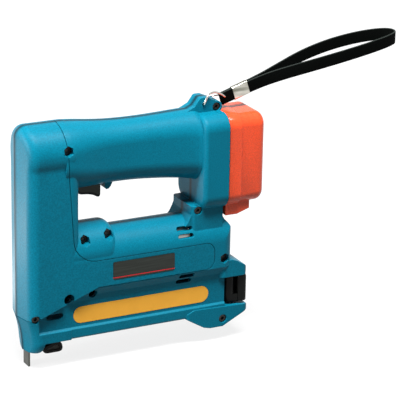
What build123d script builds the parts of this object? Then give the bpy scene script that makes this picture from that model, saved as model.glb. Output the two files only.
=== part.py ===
"""Cordless stapler: moulded housings, spring drive, magazine, battery and wrist strap, in millimetres.

Sizes are written with x from the nose's front, y from the middle plane and z from the base plane that the
nose foot and the rear foot stand on. The origin lies below the middle of the tool, at the contact tip's end.
"""

import math
import os

from build123d import *

os.makedirs("parts", exist_ok=True)

# Battery and its holder
HOLDER_FRONT = 166.0
HOLDER_REAR = 190.0
HOLDER_HALF = 27.0
HOLDER_FOOT = 112.0
HOLDER_HEAD = 197.0
HOLDER_ROUND = 13.0
HOLDER_EDGE = 4.0
BATTERY_GAP = 0.8
BATTERY_DEPTH = 35.7
BATTERY_INSET = 0.8
BATTERY_COLLAR = 12.0
BATTERY_STEP = 1.0
BATTERY_EDGE = 7.0
BATTERY_WALL = 2.0
BASE_DROP = 8.2
BASE_DEPTH = 23.5
BASE_HALF = 20.0
BASE_SLOPE = 4.0
TOWER_LENGTH = 14.0
TOWER_FIT = 0.5
CELL_R = 9.8
CELL_LENGTH = 31.0
CELL_GAP = 0.4
CELL_PLATE = 2.0
TERMINAL_OFFSET = 8.0
TERMINAL_HALF = 2.5
TERMINAL_FOOT = 172.0
TERMINAL_HEAD = 190.0
TERMINAL_BLOCK_HALF = 18.0
TERMINAL_THICK = 4.0
TERMINAL_EDGE = 3.0
TERMINAL_PLATE = 1.5

# Outer form of the housing
BODY_HALF = 23.5
BARREL_R = 25.5
NOSE_TOP = 204.0
BARREL_BLEND = 14.0
NOSE_WALL = 4.5
NOSE_BAY_HALF = 10.0
FRONT_SLOPE = 0.235
NOSE_CORNER = 10.0
FRONT_CORNER = 5.0
COLUMN_BACK = 51.0
BACK_CORNER = 8.0
ARM_AXIS_Z = 81.5
ARM_REAR = 198.0
ARM_ROUND = 20.0
ARM_CORNER = 9.0
HUMP_RISE = 6.0
HUMP_END = 87.0
HUMP_ROUND = 9.0
PANEL_FOOT = 57.0
WALL = 3.5
FLOOR = 1.5
BODY_FOOT = 12.0
RECESS_HALF = 18.5
RECESS_HEAD = 45.0
FLANK_HALF = 19.5
FLANK_FOOT = 50.0
STRIP_HALF = 20.5
STRIP_HEAD = 21.0
STRIP_EDGE = 1.5
MAGAZINE_REAR = 192.0
CHIN_CORNER = 8.0
CHIN_ROUND = 3.0
CHIN_TIP_X = 16.0
CHIN_HEEL_X = 19.0
JAW_HALF = 22.0
JAW_ROOT = 6.0
JAW_REACH = 15.5
JAW_HEAD = 62.0
JAW_LIP = 51.0
JAW_FOOT = 46.0
JAW_ROUND = 5.0
FOOT_HALF = 21.5
FOOT_RUN = 37.7
LEDGE_FRONT = 19.5
LEDGE_REAR = 17.8
NECK_HALF = 18.5
NECK_FLARE = 14.0
NECK_SINK = 9.0
LUG_HALF = 7.5
LUG_RUN = 16.5
LUG_STEP = 6.0
LUG_CROWN = 6.0
LUG_ROUND = 3.0
GUARD_FRONT = 80.8
GUARD_LENGTH = 7.5
GUARD_DROP = 6.5
GUARD_HALF = 6.0
CAP_RIB = 10.0

# Plans of the lower nose from the covers down to the floor, and on to its tip: height, front, half width
CHIN_SECTIONS = (
    (34.0, 0.0, 21.3),
    (23.0, 3.4, 21.1),
    (12.0, 5.2, 20.9),
)
TIP_SECTIONS = (
    CHIN_SECTIONS[-1],
    (7.0, 5.5, 19.4),
    (2.0, 5.8, 14.5),
)

# Handle cross sections, and those of its flare into the battery holder: x, half width, underside, top
HANDLE_SECTIONS = (
    (37.0, 25.2, 145.0, 203.7),
    (51.0, 24.1, 143.9, 203.1),
    (65.0, 21.3, 143.7, 201.5),
    (79.0, 19.2, 144.1, 200.1),
    (93.0, 18.3, 144.2, 199.3),
    (107.0, 18.1, 143.8, 199.0),
    (121.0, 18.3, 142.8, 199.1),
    (135.0, 18.8, 141.4, 199.5),
    (149.0, 19.6, 139.7, 200.0),
    (163.0, 21.4, 137.3, 200.6),
)
FLARE_SECTIONS = (
    HANDLE_SECTIONS[-1],
    (166.5, 23.0, 136.0, 199.6),
    (170.0, 25.4, 134.4, 196.6),
)
HANDLE_SHOULDER = 0.8
HANDLE_CAVITY_HALF = 14.0
HANDLE_CAVITY_FOOT = 149.0
HANDLE_CAVITY_HEAD = 194.0
HANDLE_CAVITY_ROUND = 11.0
COLLAR_HALF = 19.0
COLLAR_START = 150.0

# Cover seams
SEAM = 0.5
COVER_FOOT = 34.0
COVER_HEEL = 8.0
PANEL_START = 68.0
PANEL_HEAD = 82.0
PANEL_REAR = 179.5
PANEL_ROUND = 9.0
SEAM_FOOT_X = 46.0
SEAM_TOP_X = 37.0
SEAM_ROUND = 22.0

# Fasteners
BOLT_R = 2.0
BOLT_FIT = 0.05
BOLT_HEAD_R = 3.6
BOLT_HEAD_LENGTH = 4.0
BOLT_SINK = 4.0
SCREW_SINK = 1.0
FRONT_SINK = 4.0
HEAD_FIT = 0.2
SCREW_TIP = 0.7
SOCKET_FLATS = 3.0
SOCKET_DEPTH = 2.4
NUT_FLATS = 8.2
NUT_LENGTH = 3.2
NUT_FIT = 0.1
NUT_SINK = 9.0
BOSS_R = 5.6
FRONT_SCREW_LENGTH = 10.0
BOLT_PLACES = ((39.2, 183.5, 25.0), (56.5, 100.0, 19.9), (79.1, 101.7, 18.7), (189.4, 65.1, 23.5))
LUG_SCREW = (186.2, 200.6)
NECK_SCREW = (164.0, 112.2)
FOOT_SCREW = (189.7, 7.2)
FRONT_SCREW = (10.0, 36.0)
NECK_FRONT = 6.0
NECK_SCREW_HALF = 20.0
NECK_ROUND = 4.0
LUG_BOSS_R = 5.4

# Nose, driver and contact arm
CONTACT_REACH = 13.0
CONTACT_X = 9.2
CONTACT_THICK = 1.6
CONTACT_HALF = 5.5
CONTACT_SHOULDER_HALF = 8.6
CONTACT_TOP = 62.0
CONTACT_TAB = 4.0
CONTACT_TAB_THICK = 3.0
CONTACT_SPRING_R = 2.0
CONTACT_SPRING_WIRE = 0.8
CONTACT_STOP_Z = 84.0
SLIDE_GAP = 0.2
PLATE_THICK = 2.0
PLATE_HALF = 9.0
PLATE_FOOT = 4.0
BLADE_THICK = 1.2
BLADE_HALF = 5.0
BLADE_FOOT = 4.4
NOSE_FLOOR = 39.5
GUIDE_TOP = 58.0
GUIDE_DEPTH = 15.2
BUMPER_DEPTH = 11.2
BUMPER_THICK = 8.0
PLUNGER_LAP = 0.6
PLUNGER_DEPTH = 11.4
PLUNGER_HALF = 16.0
PLUNGER_HEIGHT = 34.0
LUG_DEPTH = 6.3
LUG_LIFT_HALF = 17.0
LUG_THICK = 7.5
ROD_R = 2.5
ROD_FIT = 0.05
ROD_OFFSET = 10.5
ROD_FOOT = 44.0
ROD_TOP = 189.0
SPRING_R = 7.0
SPRING_WIRE = 2.2
CAP_THICK = 5.0
CAP_DEPTH = 17.4
CAP_HALF = 19.0
BLADE_SOCKET = 14.0
SPRING_SEAT = 0.1

# Gear train
CRANK_R = 15.0
CRANK_TEETH = 36
CRANK_MODULE = 1.0
CRANK_PINION_TEETH = 10
FIRST_TEETH = 30
FIRST_PINION_TEETH = 10
FIRST_MODULE = 0.8
PRESSURE_ANGLE = 20.0
TOOTH_HEAD = 0.8
TOOTH_FOOT = 1.15
BACKLASH = 0.1
CRANK_GAP = 0.7
CRANK_WIDTH = 7.0
PINION_EXTRA = 1.0
AXLE_R = 4.0
RUN_FIT = 0.05
ROLLER_R = 3.5
ROLLER_LENGTH = 5.8
ROLLER_GAP = 0.4
CRANK_PIN_R = 2.0
ROLLER_CLEAR = 3.5
GEAR_PLATE_GAP = 2.0
GEAR_PLATE_THICK = 4.0
GEAR_PLATE_FIT = 0.3
GEAR_PLATE_HEAD = 113.0
SHAFT_R = 3.0
FIRST_X = 76.0
FIRST_WIDTH = 7.0
GEAR_HEAD_GAP = 5.0
PINION_SHAFT_R = 2.5
PINION_SHAFT_LENGTH = 8.0
GEAR_HEAD_LENGTH = 16.0
GEAR_HEAD_R = 17.0
GEAR_HEAD_FLANGE = 4.0
FLANGE_HALF = 8.0
FLANGE_DROP = 7.0
MOTOR_R = 18.0
MOTOR_LENGTH = 54.0
MOTOR_BOSS_R = 6.0
MOTOR_BOSS_LENGTH = 4.0
MOTOR_RIB = 3.0
MOTOR_RIB_FIT = 0.1
RIB_PLACES = (110.0, 134.0)

# Trigger and switch
TRIGGER_HALF = 8.0
TRIGGER_GAP = 0.6
TRIGGER_PIVOT = (58.5, 151.5)
TRIGGER_PIN_R = 2.0
TRIGGER_PIN_HALF = 13.0
TRIGGER_SLOT = (52.0, GUARD_FRONT)
TRIGGER_TOP = 156.0
TRIGGER_FRONT = 54.6
TRIGGER_REAR = 76.6
TRIGGER_FOOT = 137.5
TRIGGER_TIP = 133.3
SWITCH_START = 60.0
SWITCH_LENGTH = 32.0
SWITCH_FOOT = 161.6
SWITCH_HALF = 13.5
SWITCH_HEIGHT = 15.0
SWITCH_BUTTON_R = 2.0
SWITCH_BUTTON_X = 68.0
SWITCH_BUTTON_LENGTH = 8.0
SWITCH_BUTTON_GAP = 0.4
SWITCH_BUTTON_WELL = 3.5
LEAD_R = 1.3
LEAD_SPACING = 5.0
LEAD_X = 172.5
LEAD_WAY = 3.0
LEAD_FOOT = 92.0
LEAD_HEAD = 168.0

# Magazine
CROWN_HALF = 5.7
STAPLE_WIRE = 1.1
STAPLE_FOOT = 16.0
STAPLE_TOP = 34.2
STRIP_LENGTH = 14.7
RAIL_FIT = 0.15
CHANNEL_FIT = 0.5
CHANNEL_WALL = 1.0
CHANNEL_REAR = 184.0
CHANNEL_SEAT = 0.3
WINDOW = (28.5, 34.9)
WINDOW_LENGTH = 16.0
WINDOW_HEIGHT = 5.0
CHANNEL_WINDOW = (27.0, 34.0)
RAIL_FOOT = 20.0
PUSHER_LENGTH = 12.0
PUSHER_GAP = 0.3
CAP_FRONT = 192.6
CAP_BLOCK_LENGTH = 12.4
CAP_BLOCK_HALF = 18.0
CAP_BLOCK_FOOT = 20.2
CAP_BLOCK_HEAD = 44.8
RAIL_TENON = 6.0
LEVER_GAP = 0.6
LEVER_DEPTH = 9.0
LEVER_PIN_R = 1.5
LEVER_PIN = (4.0, 2.9)
LEVER_EAR = 2.4
LEVER_EAR_HEIGHT = 7.0
LEVER_EAR_REACH = 7.0
LEVER_EAR_GAP = 0.4
LEVER_RIB_R = 2.6
LEVER_SIDE_R = 3.2
GRIP_HALF = 14.0
GRIP_RIB_R = 5.4
LEVER_CHAMFER = 2.0
PUSHER_SPRING_R = 2.4
PUSHER_SPRING_WIRE = 0.7
PUSHER_SPRING_FIT = 0.3

# Feet, plates and labels
NOSE_FOOT_HALF = 14.5
NOSE_FOOT_START = 20.0
NOSE_FOOT_END = 38.0
NOSE_FOOT_SLOPE = 3.0
NAMEPLATE = (110.5, 70.1)
NAMEPLATE_LENGTH = 59.0
NAMEPLATE_HEIGHT = 16.2
NAMEPLATE_ROUND = 1.5
LABEL = (110.9, 32.9)
LABEL_LENGTH = 130.4
LABEL_HEIGHT = 15.4
LABEL_ROUND = 7.6
PLATE_SINK = 0.6
PLATE_PROUD = 0.2
PLATE_FIT = 0.15

# Openings in the side walls
VENTS = ((151.6, 96.6), (151.8, 90.8), (153.0, 54.0), (151.0, 48.6))
VENT_LENGTH = 15.0
VENT_HEIGHT = 3.8
SIDE_HOLES = ((40.1, 50.3, 4.9), (63.5, 51.2, 3.9))

# Wrist strap
RING_WIRE_R = 0.9
RING_PIVOT = (173.5, 204.2)
RING_REAR = (196.4, 207.2)
RING_CROWN = (184.6, 213.4)
RING_BEND = 0.05
RING_HALF = 9.4
RING_REAR_HALF = 7.0
RING_HOLE_R = 1.3
STRAP_WIDTH = 11.0
STRAP_THICK = 1.6
STRAP_LAYER = 1.0

# Route of the strap's near half from the ring to the tip: x, half spread and height
STRAP_ROUTE = (
    (193.7, STRAP_LAYER, 204.6),
    (228.0, STRAP_LAYER, 215.6),
    (252.0, 6.5, 222.7),
    (280.0, 14.5, 230.0),
    (308.0, 18.2, 235.9),
    (334.0, 17.3, 240.2),
    (355.0, 13.0, 242.8),
    (367.5, 6.0, 243.9),
)
FERRULE_FRONT = 205.0
FERRULE_REAR = 220.5
FERRULE_WALL = 0.7
FERRULE_FIT = 0.1

# Places that follow from the sizes above
SCREW_PLACES = ((*LUG_SCREW, LUG_HALF), (*NECK_SCREW, NECK_SCREW_HALF), (*FOOT_SCREW, FOOT_HALF))
OVERALL_LENGTH = HOLDER_REAR + BATTERY_GAP + BATTERY_DEPTH
NOSE_X = -OVERALL_LENGTH / 2
BASE_Z = CONTACT_REACH
THROUGH = 2 * HOLDER_HALF
ARM_TOP = ARM_AXIS_Z + BODY_HALF
BARREL_Z = NOSE_TOP - BARREL_R
PLATE_X = CONTACT_X + CONTACT_THICK + SLIDE_GAP
BLADE_X = PLATE_X + PLATE_THICK + SLIDE_GAP
GUIDE_X = BLADE_X + BLADE_THICK + 2 * SLIDE_GAP
STAPLE_X = GUIDE_X + SLIDE_GAP
PLUNGER_X = BLADE_X - PLUNGER_LAP
PLUNGER_REAR = PLUNGER_X + PLUNGER_DEPTH
PLUNGER_FOOT = GUIDE_TOP + BUMPER_THICK + SLIDE_GAP
PLUNGER_TOP = PLUNGER_FOOT + PLUNGER_HEIGHT
ROD_X = PLUNGER_X + PLUNGER_DEPTH / 2
CAP_FOOT = ROD_TOP - CAP_THICK
SHAFT_Z = ARM_AXIS_Z - (FIRST_TEETH + FIRST_PINION_TEETH) * FIRST_MODULE / 2
CRANK_Z = SHAFT_Z + (CRANK_TEETH + CRANK_PINION_TEETH) * CRANK_MODULE / 2
CRANK_X = PLUNGER_REAR + LUG_DEPTH + CRANK_GAP
ROLLER_Z = CRANK_Z - CRANK_R
LUG_FOOT = ROLLER_Z + ROLLER_R + ROLLER_CLEAR
GEAR_PLATE_X = CRANK_X + CRANK_WIDTH + GEAR_PLATE_GAP
GEAR_HEAD_X = FIRST_X + FIRST_WIDTH + GEAR_HEAD_GAP
MOTOR_X = GEAR_HEAD_X + GEAR_HEAD_LENGTH
CHANNEL_HALF = CROWN_HALF + CHANNEL_FIT + CHANNEL_WALL
CHANNEL_FOOT = BODY_FOOT + FLOOR + CHANNEL_SEAT
CHANNEL_TOP = STAPLE_TOP + 2 * CHANNEL_FIT + CHANNEL_WALL
RAIL_HALF = CROWN_HALF - STAPLE_WIRE - RAIL_FIT
RAIL_TOP = STAPLE_TOP - STAPLE_WIRE - RAIL_FIT
PUSHER_X = STAPLE_X + STRIP_LENGTH + PUSHER_GAP
CAP_REAR = CAP_FRONT + CAP_BLOCK_LENGTH
LEVER_X = CAP_REAR + LEVER_GAP
BATTERY_FRONT = HOLDER_REAR + BATTERY_GAP
TOWER_FRONT = BATTERY_FRONT - TOWER_LENGTH
HOLDER_WELL = HOLDER_FRONT + HOLDER_EDGE
WELL_HALF = HOLDER_HALF - WALL
WELL_FOOT = HOLDER_FOOT + HOLDER_EDGE
WELL_HEAD = HOLDER_HEAD - HOLDER_EDGE


def side(y=0.0):
    """Upright plane that faces the left side, with its origin at the nose's front on the base plane."""
    return Plane(origin=(NOSE_X, y, BASE_Z), x_dir=(1, 0, 0), z_dir=(0, -1, 0))


def level(z):
    """Flat plane at a height above the base plane."""
    return Plane(origin=(NOSE_X, 0, BASE_Z + z), x_dir=(1, 0, 0), z_dir=(0, 0, 1))


def across(x):
    """Upright plane across the tool, facing the rear."""
    return Plane(origin=(NOSE_X + x, 0, BASE_Z), x_dir=(0, 1, 0), z_dir=(1, 0, 0))


def save(piece, name):
    """Label a finished piece and write it."""
    piece.part.label = name
    export_step(piece.part, f"parts/{name}.step")


def block(x, y, z, mode=Mode.ADD):
    """Box between two x, two y and two z places."""
    with BuildSketch(level(z[0])) as outline:
        with Locations(((x[0] + x[1]) / 2, (y[0] + y[1]) / 2)):
            Rectangle(x[1] - x[0], y[1] - y[0])
    extrude(outline.sketch, amount=z[1] - z[0], mode=mode)


def bar_x(x, y, z, radius, mode=Mode.ADD):
    """Round bar along x between two places."""
    with BuildSketch(across(x[0])) as outline:
        with Locations((y, z)):
            Circle(radius)
    extrude(outline.sketch, amount=x[1] - x[0], mode=mode)


def bar_y(x, y, z, radius, mode=Mode.ADD):
    """Round bar along y between two places."""
    with BuildSketch(side(y[1])) as outline:
        with Locations((x, z)):
            Circle(radius)
    extrude(outline.sketch, amount=y[1] - y[0], mode=mode)


def bar_z(x, y, z, radius, mode=Mode.ADD):
    """Round bar along z between two heights."""
    with BuildSketch(level(z[0])) as outline:
        with Locations((x, y)):
            Circle(radius)
    extrude(outline.sketch, amount=z[1] - z[0], mode=mode)


def hex_y(x, y, z, flats, mode=Mode.ADD):
    """Hexagonal bar along y with its points up and down."""
    with BuildSketch(side(y[1])) as outline:
        with Locations((x, z)):
            RegularPolygon(radius=flats / 2, side_count=6, major_radius=False, rotation=30)
    extrude(outline.sketch, amount=y[1] - y[0], mode=mode)


def profile(points, half, mode=Mode.ADD):
    """Side outline drawn out to both sides of the middle plane."""
    with BuildSketch(side()) as outline:
        with BuildLine():
            Polyline(*points, close=True)
        make_face()
    extrude(outline.sketch, amount=half, both=True, mode=mode)


def gear_outline(teeth, module, turn):
    """Involute spur gear outline: each flank runs from the root over the pitch circle to the tip."""
    pitch = teeth * module / 2
    base = pitch * math.cos(math.radians(PRESSURE_ANGLE))
    root = pitch - TOOTH_FOOT * module
    tip = pitch + TOOTH_HEAD * module
    involute = math.tan(math.radians(PRESSURE_ANGLE)) - math.radians(PRESSURE_ANGLE)
    half_pitch = math.pi / (2 * teeth) - BACKLASH * module / pitch

    def half_width(radius):
        if radius <= base:
            return half_pitch + involute
        slope = math.acos(base / radius)
        return half_pitch + involute - (math.tan(slope) - slope)

    radii = (root, max(root + 0.1 * module, base), (base + pitch) / 2, pitch, (pitch + tip) / 2, tip)
    points = []
    for tooth in range(teeth):
        middle = math.radians(turn) + 2 * math.pi * tooth / teeth
        rising = [(radius, middle - half_width(radius)) for radius in radii]
        falling = [(radius, middle + half_width(radius)) for radius in reversed(radii)]
        points += [(r * math.cos(a), r * math.sin(a)) for r, a in rising + falling]
    return points


def gear(x, z, width, teeth, module, turn):
    """Spur gear on an axis along x, with its first tooth turned from the +y direction."""
    axis = Plane(origin=(NOSE_X + x, 0, BASE_Z + z), x_dir=(0, 1, 0), z_dir=(1, 0, 0))
    with BuildSketch(axis) as outline:
        with BuildLine():
            Polyline(*gear_outline(teeth, module, turn), close=True)
        make_face()
    extrude(outline.sketch, amount=width)


def span(a, b):
    """Two places in rising order."""
    return (min(a, b), max(a, b))


def slot(x, z, length, height, mode=Mode.ADD):
    """Slot with round ends across the whole width."""
    with BuildSketch(side()) as outline:
        with Locations((x, z)):
            SlotOverall(length, height)
    extrude(outline.sketch, amount=THROUGH, both=True, mode=mode)


def screw_hole(x, z, face, tip):
    """Hole along y for a screw, with room for its head outside the head's underside."""
    inward = math.copysign(1, tip - face)
    under_head = face + inward * BOLT_HEAD_LENGTH
    bar_y(x, span(-inward * THROUGH, under_head), z, BOLT_HEAD_R + HEAD_FIT, Mode.SUBTRACT)
    bar_y(x, span(under_head, tip), z, BOLT_R + BOLT_FIT, Mode.SUBTRACT)


def cap_screw(x, z, face, tip):
    """Screw along y with a hexagonal socket in its head."""
    inward = math.copysign(1, tip - face)
    under_head = face + inward * BOLT_HEAD_LENGTH
    bar_y(x, span(face, under_head), z, BOLT_HEAD_R)
    bar_y(x, span(under_head, tip), z, BOLT_R)
    hex_y(x, span(face, face + inward * SOCKET_DEPTH), z, SOCKET_FLATS, Mode.SUBTRACT)


def rounded_plate(place, length, height, corner, face, fit, mode=Mode.ADD):
    """Thin plate let into the left wall: the recess is PLATE_SINK deep and the plate stands proud of it."""
    proud = PLATE_PROUD if mode == Mode.ADD else 0
    with BuildSketch(side(PLATE_SINK - face)) as outline:
        with Locations(place):
            RectangleRounded(length - 2 * fit, height - 2 * fit, corner - fit)
    extrude(outline.sketch, amount=PLATE_SINK + proud, mode=mode)


def cover_outline(inset):
    """Side outline of the covers: the front column and the panel along the motor arm."""
    top = NOSE_TOP + WALL
    with BuildSketch(side()) as outline:
        with BuildLine():
            Polyline(
                (-WALL, COVER_FOOT + inset),
                (COVER_HEEL, COVER_FOOT + inset),
                (PANEL_START, PANEL_FOOT + inset),
                (PANEL_REAR - inset, PANEL_FOOT + inset),
                (PANEL_REAR - inset, PANEL_HEAD - inset),
                (SEAM_FOOT_X - inset, PANEL_HEAD - inset),
                (SEAM_TOP_X - inset, top),
                (-WALL, top),
                close=True,
            )
        make_face()
        fillet(outline.vertices().group_by(Axis.X)[-1], PANEL_ROUND - inset)
        fillet(outline.vertices().sort_by_distance((SEAM_FOOT_X, PANEL_HEAD, 0))[0], SEAM_ROUND + inset)
    return outline.sketch


def nose_plan(height, front, half, corner=0):
    """Plan of the nose: two flat front faces that meet in a ridge on the middle plane, with rounded edges."""
    setback = front + FRONT_SLOPE * half
    with BuildSketch(level(height)) as plan:
        with BuildLine():
            Polyline(
                (front, 0),
                (setback, -half),
                (COLUMN_BACK, -half),
                (COLUMN_BACK, half),
                (setback, half),
                close=True,
            )
        make_face()
        if corner:
            fillet(plan.vertices().sort_by(Axis.X)[1:3], corner)
    return plan.sketch


def bend_radii(points):
    """Radius at each inner corner of a route: 0.45 of the shorter run over the tangent of half the turn."""
    radii = []
    for before, corner, after in zip(points, points[1:], points[2:]):
        first = Vector(*corner) - Vector(*before)
        second = Vector(*after) - Vector(*corner)
        half_turn = math.radians(first.get_angle(second)) / 2
        radii.append(0.45 * min(first.length, second.length) / math.tan(half_turn))
    return radii


def rising_band(width):
    """Side view of the strap: a band of one width along the rising route."""
    with BuildSketch(side()) as band:
        with BuildLine():
            FilletPolyline(*strap_rise, radius=bend_radii(strap_rise))
        trace(line_width=width)
    return band.sketch


def left_room():
    """Keep what lies on the left of the middle plane."""
    block((-WALL, OVERALL_LENGTH), (-THROUGH, 0), (-CONTACT_REACH, NOSE_TOP + CONTACT_REACH), Mode.INTERSECT)


def right_room():
    """Keep what lies on the right of the middle plane."""
    block((-WALL, OVERALL_LENGTH), (0, THROUGH), (-CONTACT_REACH, NOSE_TOP + CONTACT_REACH), Mode.INTERSECT)


# Outer forms of the housing, joined into one body and hollowed before it is parted
with BuildPart() as nose_form:
    with BuildSketch(across(0)) as nose_section:
        with Locations((0, (COVER_FOOT + BARREL_Z) / 2)):
            Rectangle(2 * BODY_HALF, BARREL_Z - COVER_FOOT)
        with Locations((0, BARREL_Z)):
            Circle(BARREL_R)
        fillet(nose_section.vertices().group_by(Axis.Y)[1], BARREL_BLEND)
    extrude(amount=COLUMN_BACK)
    extrude(nose_plan(0, 0, THROUGH), amount=NOSE_TOP, mode=Mode.INTERSECT)
    above_foot = BASE_Z + COVER_FOOT + FLOOR
    front_edges = nose_form.faces().sort_by(Axis.X)[:2].edges()
    side_edges = [edge for edge in front_edges if abs(edge.center().Y) > FLOOR]
    fillet([edge for edge in side_edges if edge.center().Z > above_foot], NOSE_CORNER)
    rear_edges = nose_form.faces().sort_by(Axis.X)[-1].edges()
    fillet([edge for edge in rear_edges if edge.center().Z > above_foot], BACK_CORNER)
    with BuildSketch(side()):
        with BuildLine():
            Polyline(
                (0, COVER_FOOT),
                (0, NOSE_TOP),
                (COLUMN_BACK, NOSE_TOP),
                (COLUMN_BACK, PANEL_FOOT),
                (PANEL_START, PANEL_FOOT),
                (COVER_HEEL, COVER_FOOT),
                close=True,
            )
        make_face()
    extrude(amount=THROUGH, both=True, mode=Mode.INTERSECT)
    slope = (PANEL_FOOT - COVER_FOOT) / (PANEL_START - COVER_HEEL)
    skirt_z = COVER_FOOT + slope * (COLUMN_BACK - BACK_CORNER - COVER_HEEL)
    skirt_x = COLUMN_BACK - BACK_CORNER
    profile(((skirt_x, skirt_z), (PANEL_START, PANEL_FOOT), (skirt_x, PANEL_FOOT)), BODY_HALF)

with BuildPart() as handle_form:
    for sections in (HANDLE_SECTIONS, FLARE_SECTIONS):
        for x, half, low, high in sections:
            with BuildSketch(across(x)):
                with Locations((0, (low + high) / 2)):
                    RectangleRounded(2 * half, high - low, half - HANDLE_SHOULDER)
        loft()

with BuildPart() as holder_form:
    with BuildSketch(across(HOLDER_FRONT)):
        with Locations((0, (HOLDER_FOOT + HOLDER_HEAD) / 2)):
            RectangleRounded(2 * HOLDER_HALF, HOLDER_HEAD - HOLDER_FOOT, HOLDER_ROUND)
    extrude(amount=HOLDER_REAR - HOLDER_FRONT)
    fillet(holder_form.faces().sort_by(Axis.X)[0].edges(), HOLDER_EDGE)
    with BuildSketch(across(COLLAR_START)):
        with Locations((0, (HANDLE_CAVITY_FOOT + HANDLE_CAVITY_HEAD) / 2)):
            RectangleRounded(
                2 * COLLAR_HALF,
                HANDLE_CAVITY_HEAD - HANDLE_CAVITY_FOOT + 2 * WALL,
                HANDLE_CAVITY_ROUND + WALL,
            )
    extrude(amount=HOLDER_FRONT + HOLDER_EDGE - COLLAR_START)

with BuildPart() as arm_form:
    arm_start = COLUMN_BACK - BACK_CORNER
    with BuildSketch(across(arm_start)):
        with Locations((0, ARM_AXIS_Z)):
            Circle(BODY_HALF)
        with Locations((0, (PANEL_FOOT + ARM_AXIS_Z) / 2)):
            Rectangle(2 * BODY_HALF, ARM_AXIS_Z - PANEL_FOOT)
    extrude(amount=ARM_REAR - arm_start)
    with BuildSketch(side()) as arm_side:
        with BuildLine():
            Polyline(
                (arm_start, PANEL_FOOT),
                (arm_start, ARM_AXIS_Z + BODY_HALF),
                (ARM_REAR, ARM_AXIS_Z + BODY_HALF),
                (ARM_REAR, PANEL_FOOT),
                close=True,
            )
        make_face()
        fillet(arm_side.vertices().group_by(Axis.Y)[-1].sort_by(Axis.X)[-1], ARM_ROUND)
    extrude(amount=BODY_HALF, both=True, mode=Mode.INTERSECT)
    with BuildSketch(level(PANEL_FOOT)) as arm_plan:
        with Locations(((arm_start + ARM_REAR) / 2, 0)):
            Rectangle(ARM_REAR - arm_start, 2 * BODY_HALF)
        fillet(arm_plan.vertices().group_by(Axis.X)[-1], ARM_CORNER)
    extrude(amount=ARM_AXIS_Z + BODY_HALF, mode=Mode.INTERSECT)

with BuildPart() as hump_form:
    with BuildSketch(across(arm_start)):
        with Locations((0, ARM_AXIS_Z + HUMP_RISE)):
            Circle(BODY_HALF)
    extrude(amount=HUMP_END - arm_start)
    fillet(hump_form.faces().sort_by(Axis.X)[-1].edges(), HUMP_ROUND)

with BuildPart() as chin_form:
    extrude(nose_plan(*CHIN_SECTIONS[0], CHIN_CORNER), amount=PANEL_FOOT - CHIN_SECTIONS[0][0])
    for sections in (CHIN_SECTIONS, TIP_SECTIONS):
        loft([nose_plan(height, front, half, CHIN_CORNER) for height, front, half in sections])

with BuildPart() as magazine_room:
    add(chin_form.part)
    block((COLUMN_BACK - BACK_CORNER, MAGAZINE_REAR), (-THROUGH, THROUGH), (BODY_FOOT, PANEL_FOOT))

with BuildPart() as magazine_form:
    with BuildSketch(across(COVER_HEEL)):
        with BuildLine():
            right = (
                (0, PANEL_FOOT),
                (BODY_HALF, PANEL_FOOT),
                (FLANK_HALF, FLANK_FOOT),
                (RECESS_HALF, RECESS_HEAD),
                (RECESS_HALF, STRIP_HEAD + STRIP_EDGE),
                (STRIP_HALF, STRIP_HEAD),
                (STRIP_HALF, BODY_FOOT + STRIP_EDGE),
                (STRIP_HALF - STRIP_EDGE, BODY_FOOT),
                (0, BODY_FOOT),
            )
            Polyline(*right)
            mirror(about=Plane.YZ)
        make_face()
    extrude(amount=MAGAZINE_REAR - COVER_HEEL)
    add(magazine_room.part, mode=Mode.INTERSECT)

with BuildPart() as lower_nose_form:
    chin_tip = TIP_SECTIONS[-1][0]
    add(chin_form.part)
    with BuildSketch(side()) as lower_side:
        with BuildLine():
            Polyline(
                (0, NOSE_FLOOR),
                (0, chin_tip),
                (CHIN_TIP_X, chin_tip),
                (CHIN_HEEL_X, BODY_FOOT),
                (COLUMN_BACK - BACK_CORNER, BODY_FOOT),
                (COLUMN_BACK - BACK_CORNER, STRIP_HEAD),
                (FRONT_CORNER + COVER_HEEL, STRIP_HEAD),
                (FRONT_CORNER + COVER_HEEL, NOSE_FLOOR),
                close=True,
            )
        make_face()
        fillet(lower_side.vertices().group_by(Axis.Y)[0], CHIN_ROUND)
    extrude(amount=THROUGH, both=True, mode=Mode.INTERSECT)

neck_x, neck_z = NECK_SCREW
neck_rear = HOLDER_REAR - HOLDER_EDGE / 2
neck_front = neck_x - NECK_FRONT
with BuildPart() as neck_form:
    profile(
        (
            (neck_x - NECK_FLARE, ARM_AXIS_Z),
            (neck_x - NECK_FLARE, ARM_TOP - NECK_SINK),
            (neck_front - 2 * FLOOR, ARM_TOP - 2 * FLOOR),
            (neck_front - FLOOR / 2, ARM_TOP + FLOOR),
            (neck_front + FLOOR, neck_z),
            (neck_x, WELL_FOOT),
            (neck_rear, WELL_FOOT),
            (neck_rear, ARM_TOP + FLOOR),
            (neck_rear + FLOOR / 2, ARM_TOP - FLOOR),
            (neck_rear + 2 * FLOOR, ARM_TOP - HOLDER_EDGE - FLOOR),
            (HOLDER_REAR - NECK_SINK, ARM_TOP - ARM_ROUND),
            (HOLDER_REAR - NECK_SINK, ARM_AXIS_Z),
        ),
        NECK_HALF,
    )
    with BuildSketch(level(ARM_AXIS_Z)) as neck_plan:
        with Locations(((neck_front + neck_rear) / 2, 0)):
            Rectangle(neck_rear - neck_front, 2 * NECK_SCREW_HALF)
        fillet(neck_plan.vertices().group_by(Axis.X)[0], NECK_ROUND)
    extrude(amount=WELL_FOOT - ARM_AXIS_Z)

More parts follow.
